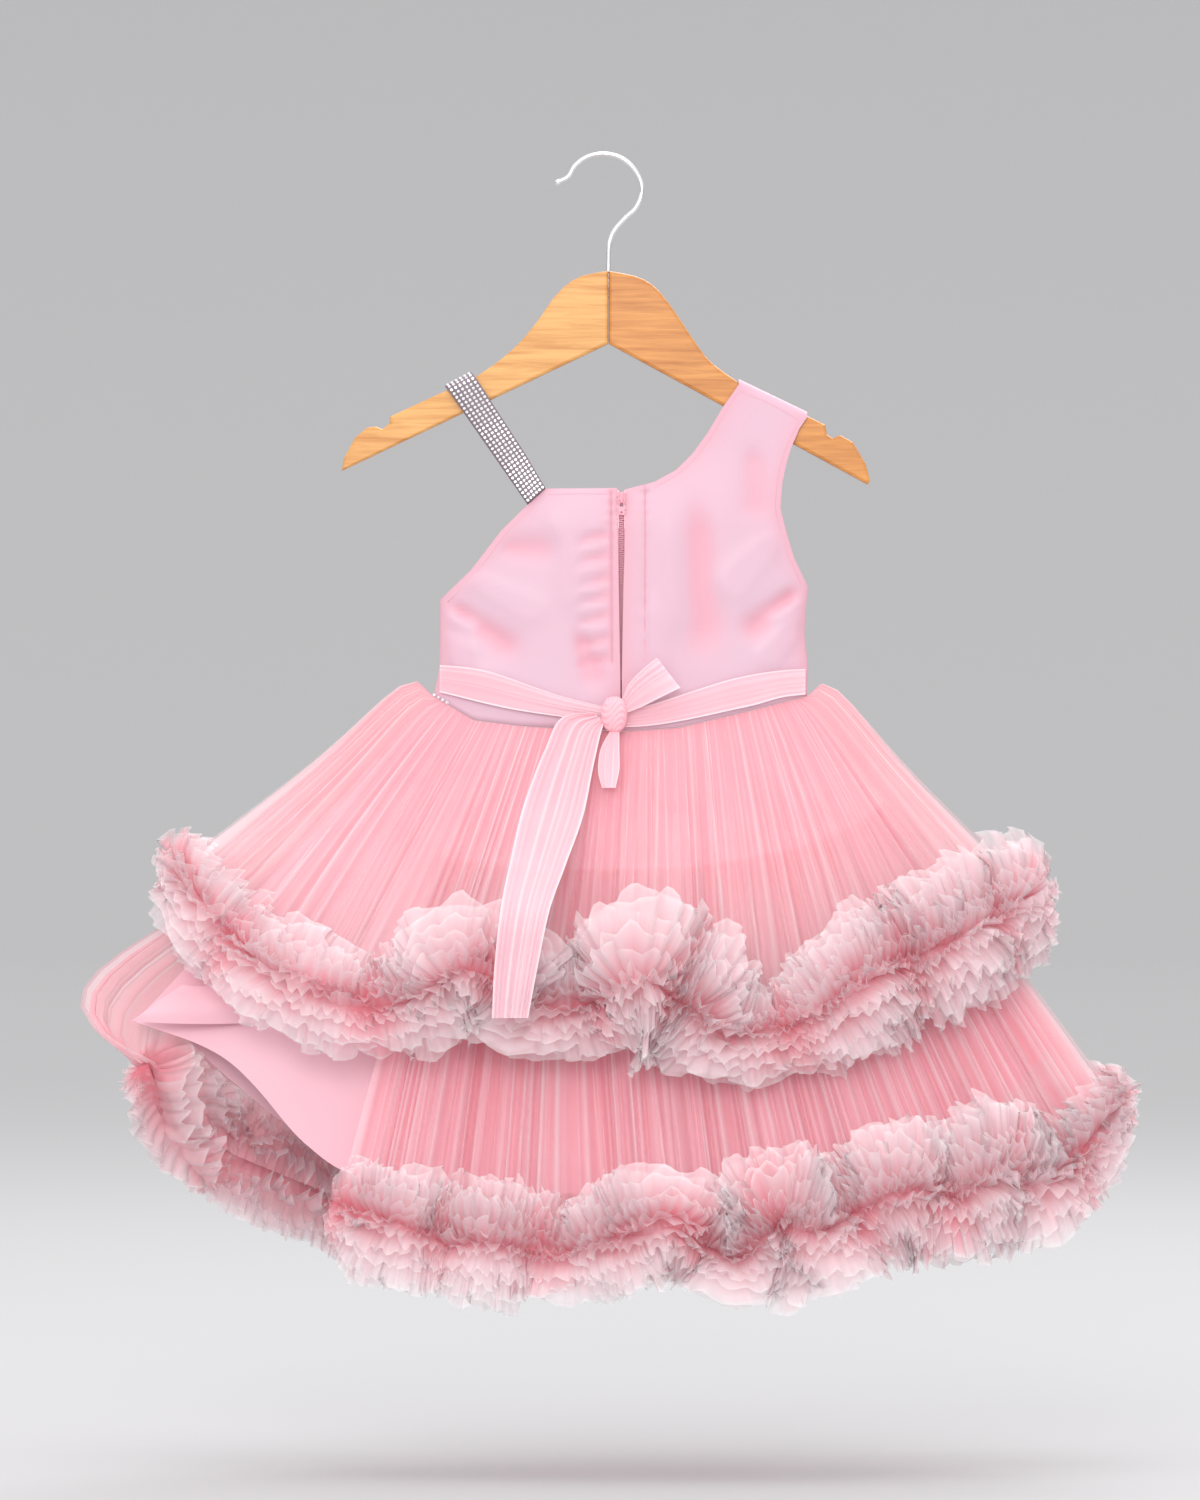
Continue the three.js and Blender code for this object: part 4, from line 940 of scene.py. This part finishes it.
# Each net's first colour is painted shade and its last is the near-white of painted highlights.
upper_net = net_material("upper_net", "FFB2BD", "FFE0E6", "FFF8FA", 0.34)
lower_net = net_material("lower_net", "FF9DAA", "FFCBD4", "FFF3F6", 0.38)
for row in TIERS:
    side = row["side"]
    top = lining_line(row) if "lining" in row else (lambda t: waist_ring(t, side, 0))
    hem = [(x, reach, z) for x, reach, z, _ in row["hem"]]
    layers = [
        layer_grid(
            top, hem, side, TIER_COLUMNS, TIER_DOWNS, swell=row["swell"], fold=TIER_FOLD,
            folds=TIER_FOLDS, seed=row["seed"] + n, pouf=row.get("pouf", 0), inset=NET_SPACING * n,
            puff=row.get("puff", 0),
        )
        for n in range(NET_LAYERS)
    ]
    # The tiers' pink deepens towards the top as painted shade, with painted highlights on their fold
    # tops.
    tier = strips_object(
        row["name"] + "_net",
        [grid for grid, _, _ in layers],
        [0.8 * TIER_DOWNS] * NET_LAYERS,
        [crest for _, crest, _ in layers],
        [hollow_shade for _, _, hollow_shade in layers],
    )
    tier.data.materials.append(lower_net if "lining" in row else upper_net)
    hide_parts(row["name"])
    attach(tier, "dress")

# Ruffles: long strips of the same net, pleated closely, folded and sewn along the middle to each
# hem, so that both edges and their loops stand out as a thick curly roll.
RUFFLES = [
    {"name": "upper_ruffle_back", "hem": UPPER_BACK_HEM, "side": -1, "pleats": 122,
     "seed": 61, "cut": (0.27, 1.75)},
    {"name": "upper_ruffle_front", "hem": UPPER_FRONT_HEM, "side": 1, "pleats": 122,
     "seed": 71, "cut": (0.27, 1.6)},
    {"name": "lower_ruffle_back", "hem": LOWER_BACK_HEM, "side": -1, "pleats": 122,
     "seed": 81, "cut": (0.27, 1.65)},
    {"name": "lower_ruffle_front", "hem": LOWER_FRONT_HEM, "side": 1, "pleats": 122,
     "seed": 91, "cut": (0.27, 2.0),
     "turned": 0.3},
]
STRIPS = [
    (94, 1.0), (80, 0.97), (66, 0.91), (50, 0.8), (34, 0.7), (18, 0.62), (0, 0.58), (-18, 0.62),
    (-34, 0.7), (-50, 0.8), (-66, 0.91), (-80, 0.97), (-94, 1.0),
]
TURNED_STRIPS = [(-112, 1.25), (-130, 1.15), (-150, 1.1), (-172, 1.0), (164, 1.1), (142, 1.2)]
BASE_DRIFT = 5
RUFFLE_OUT = 38
RUFFLE_ROWS = np.array([0, 0.22, 0.46, 0.72, 0.94, 1])
STEPS_A_PLEAT = 4
PLEAT_TURN = 8
PLEAT_SHIFT = 1.5
TUFTS = 9
TUFT_FAN = 5.5


def ruffle_grid(row, tufts, angle, size, seed, until=1.0):
    """A pleated strip that leaves the hem at an angle, a painted highlight line on some pleats,
    and painted shade in the pleats' troughs and between the tufts.
    """
    rng = np.random.default_rng(seed)
    side = row["side"]
    steps = row["pleats"] * STEPS_A_PLEAT
    even = smooth_line([(x, side * reach, z, tall) for x, reach, z, tall in row["hem"]], 4 * steps)
    crowd = np.cumsum(even[:, 3] ** 1.5)
    shares = np.interp(np.linspace(crowd[0], crowd[-1], steps + 1), crowd, np.arange(len(even)))
    line = np.stack([np.interp(shares, np.arange(len(even)), even[:, k]) for k in range(4)], axis=1)
    kept = int(steps * until) + 1
    points, tall = line[:kept, :3], line[:kept, 3]
    along = np.gradient(points, axis=0)
    along /= np.linalg.norm(along, axis=1, keepdims=True)
    out = outward_of(points)
    out -= along * (out * along).sum(axis=1, keepdims=True)
    out /= np.linalg.norm(out, axis=1, keepdims=True)
    up = side * np.cross(out, along)
    t = np.arange(kept) / steps
    place = np.interp(t, tufts, np.arange(len(tufts))) + 0.05 * rng.normal()
    within = place % 1 - 0.5
    dome = np.cos(math.pi * within)
    pace = np.repeat(rng.uniform(0.55, 1.45, row["pleats"] + 1), STEPS_A_PLEAT)[:kept]
    pleat = np.cumsum(pace) / STEPS_A_PLEAT
    each = pleat.astype(int)
    kick = rng.normal(0, 1, each[-1] + 2)
    far = rng.normal(0, 1, each[-1] + 2)
    shine = rng.uniform(0, 1, each[-1] + 2)
    fold = 2 * np.abs(2 * (pleat % 1) - 1) - 1
    knots = np.arange(0, kept + 15, 15)
    soft = np.interp(np.arange(kept), knots, rng.normal(0, 1, len(knots)))
    base = np.interp(np.arange(kept), knots, rng.normal(0, 1, len(knots)))
    blend = np.interp(pleat, np.arange(len(kick)) + 0.5, kick)
    turn = PLEAT_TURN * fold * (1 + 0.35 * blend) + 6 * blend + 6 * soft
    uneven = np.interp(pleat, np.arange(len(far)) + 0.5, far)
    length = size * np.clip(0.84 + 0.16 * dome + 0.1 * uneven, 0.6, 1.14)
    grid = []
    for share in RUFFLE_ROWS:
        a = np.radians(angle * (0.6 + 0.4 * share) + turn * share**0.5)
        reach = LAYER_GAP + RUFFLE_OUT * share * length * np.cos(a)
        rise = tall * share * length * np.sin(a)
        fan = TUFT_FAN * np.sin(2 * math.pi * within)
        shift = share * (fan + PLEAT_SHIFT * kick[each] * (fold > 0) + 2 * soft)
        rise = rise + BASE_DRIFT * base * (1 - share)
        grid.append(points + out * reach[:, None] + along * shift[:, None] + up * rise[:, None])
    # Painted shade: deeper pink in pleat troughs and where tufts meet.
    valley_shade = 0.3 * np.clip(-fold, 0, 1) + 0.9 * np.clip(1 - 1.5 * dome, 0, 1)
    return np.array(grid), np.clip(fold, 0, 1) ** 3 * shine[each], valley_shade


# Painted shade deepens the ruffles' pink towards the sewn hem; their rims and pleat tops carry painted
# highlights.
ruffle_net = net_material("ruffle_net", "FFA3B0", "FFE8ED", "FFFBFC", 0.36)
for row in RUFFLES:
    rng = np.random.default_rng(row["seed"])
    widths = rng.uniform(0.6, 1.4, TUFTS)
    tufts = np.concatenate([[0], np.cumsum(widths) / widths.sum()])
    strips = [
        ruffle_grid(row, tufts, angle, size, row["seed"] + k) for k, (angle, size) in enumerate(STRIPS)
    ]
    if "turned" in row:
        strips += [
            ruffle_grid(row, tufts, angle, size, row["seed"] + 20 + k, row["turned"])
            for k, (angle, size) in enumerate(TURNED_STRIPS)
        ]
    ruffle = strips_object(
        row["name"] + "_net", [grid for grid, _, _ in strips], [RUFFLE_ROWS] * len(strips),
        [crest for _, crest, _ in strips], [valley_shade for _, _, valley_shade in strips],
    )
    ruffle.data.materials.append(ruffle_net)
    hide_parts(row["name"])
    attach(ruffle, "dress")

# Sash: a long strip of the same net, folded lengthwise and sewn in at the side seams, tied beside
# the zip in half a bow: a knot, a short end up to the right, a small loop and a long tail.
BAND_LEFT = [
    (-112, -339.5, -357.5), (-98, -340.5, -361), (-82, -343, -365), (-66, -348, -368.5),
    (-48, -354.5, -371.5), (-30, -360.5, -374), (-14, -364.5, -376), (2, -368, -378),
]
BAND_RIGHT = [
    (5, -370, -381), (26, -366.5, -380), (44, -361, -377.5), (62, -355, -374), (80, -349.5, -370),
    (98, -345.5, -366), (116, -343, -361), (131.5, -342, -359),
]
SHORT_END = [
    (9, -363, 13, -371, -22.6), (14, -352, 23, -367, -23.2), (22.5, -343, 34, -361.5, -24),
    (32.5, -334.8, 48, -354.6, -23),
]
LOOP = [
    (1, -384, 7.5, -384, -24), (-5, -396, 7.5, -396, -31), (-6.5, -410, 7.5, -409, -35.5),
    (-4, -421, 5, -421, -39),
]
TAIL = [
    (-9.5, -371, -2.7, -378, -22.6), (-30, -374, -5, -386, -27), (-42, -396, -9.5, -406, -35),
    (-55, -430, -16, -438, -49), (-64, -468, -28, -472, -90), (-70, -500, -38.5, -502, -137),
    (-74, -538, -46, -538, -141), (-75.5, -570, -52, -570, -142),
]
BAND_OUT = 2.3
SASH_LAYERS = 3
KNOT_AT = np.array([4.2, -22.9, -372.5])
KNOT_SIZE = np.array([8.8, 5.5, 12])


def ribbon_layers(edges, rows, columns, folds, fold, layers, seed):
    """Layers of net between two lines of places, pressed into folds that run lengthwise."""
    rng = np.random.default_rng(seed)
    line = smooth_line(edges, rows - 1)
    across = np.linspace(0, 1, columns)
    made = []
    for n in range(layers):
        wave, crest = random_folds(across, folds, rng)
        grid = line[:, None, :3] * (1 - across)[None, :, None] + line[:, None, 3:] * across[None, :, None]
        grow = np.linspace(0.5, 1, rows)[:, None]
        grid[..., 1] -= 0.6 * n + fold * (1 - wave)[None] * grow - fold * 0.3
        # Painted highlights along both edges of each ribbon layer.
        crest = np.maximum(crest, (np.abs(across - 0.5) > 0.5 - 1.2 / columns) * 0.9)
        made.append((grid, crest))
    return made


sash_net = net_material("sash_net", "FFC2CE", "FFDBE4", "FFF1F5", 0.5)
bands = {
    "sash_band_left": BAND_LEFT,
    "sash_band_right": BAND_RIGHT,
}
SASH = []
for name, rows in bands.items():
    edges = []
    for x, top, bottom in rows:
        high, low = (-bodice_reach(x, z) - BAND_OUT for z in (top, bottom))
        edges.append((x, high, top, x, low, bottom))
    SASH.append({
        "name": name, "edges": edges, "rows": 60, "columns": 30, "folds": 5, "fold": 0.9,
        "cut": (0.05, 0.13),
    })
for name, rows, tall, folds, fold, cut in (
    ("sash_end", SHORT_END, 24, 4, 1.8, (0.05, 0.06)),
    ("sash_loop", LOOP, 24, 3, 2.4, (0.04, 0.05)),
    ("sash_tail", TAIL, 80, 4, 6, (0.12, 0.24)),
):
    edges = [(lx, y, lz, rx, y, rz) for lx, lz, rx, rz, y in rows]
    SASH.append({
        "name": name, "edges": edges, "rows": tall, "columns": 40, "folds": folds, "fold": fold,
        "cut": cut,
    })
for k, row in enumerate(SASH):
    made = ribbon_layers(
        row["edges"], row["rows"], row["columns"], row["folds"], row["fold"], SASH_LAYERS, 100 + k
    )
    share = np.linspace(0.25, 0.8, row["rows"])
    ribbon = strips_object(
        row["name"] + "_net", [grid for grid, _ in made], [share] * len(made),
        [crest for _, crest in made],
    )
    ribbon.data.materials.append(sash_net)
    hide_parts(row["name"])
    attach(ribbon, "dress")
knot_rows, knot_columns = 40, 72
wrap = np.linspace(0, 2 * math.pi, knot_columns)
rise = np.linspace(0.02, math.pi - 0.02, knot_rows)
slant = 1.6 * np.cos(rise)[:, None] + 0.6 * np.sin(2 * wrap)[None]
crease = np.abs(np.sin(5.5 * slant + 1.3 * np.sin(wrap)[None]))
size = 1 - 0.2 * (1 - crease) ** 2
knot_grid = KNOT_AT + np.stack([
    KNOT_SIZE[0] * size * np.sin(rise)[:, None] ** 0.8 * np.cos(wrap)[None],
    KNOT_SIZE[1] * size * np.sin(rise)[:, None] ** 0.8 * np.sin(wrap)[None],
    KNOT_SIZE[2] * (0.9 + 0.1 * size) * np.cos(rise)[:, None],
], axis=-1)
knot = strips_object("sash_knot_net", [knot_grid], [np.full(knot_rows, 0.4)], [np.zeros(knot_columns)])
knot_net = net_material("knot_net", "FFB0BC", "FFCED7", "FFE6EB", 0.92)
knot.data.materials.append(knot_net)
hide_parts("sash_knot")
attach(knot, "dress")
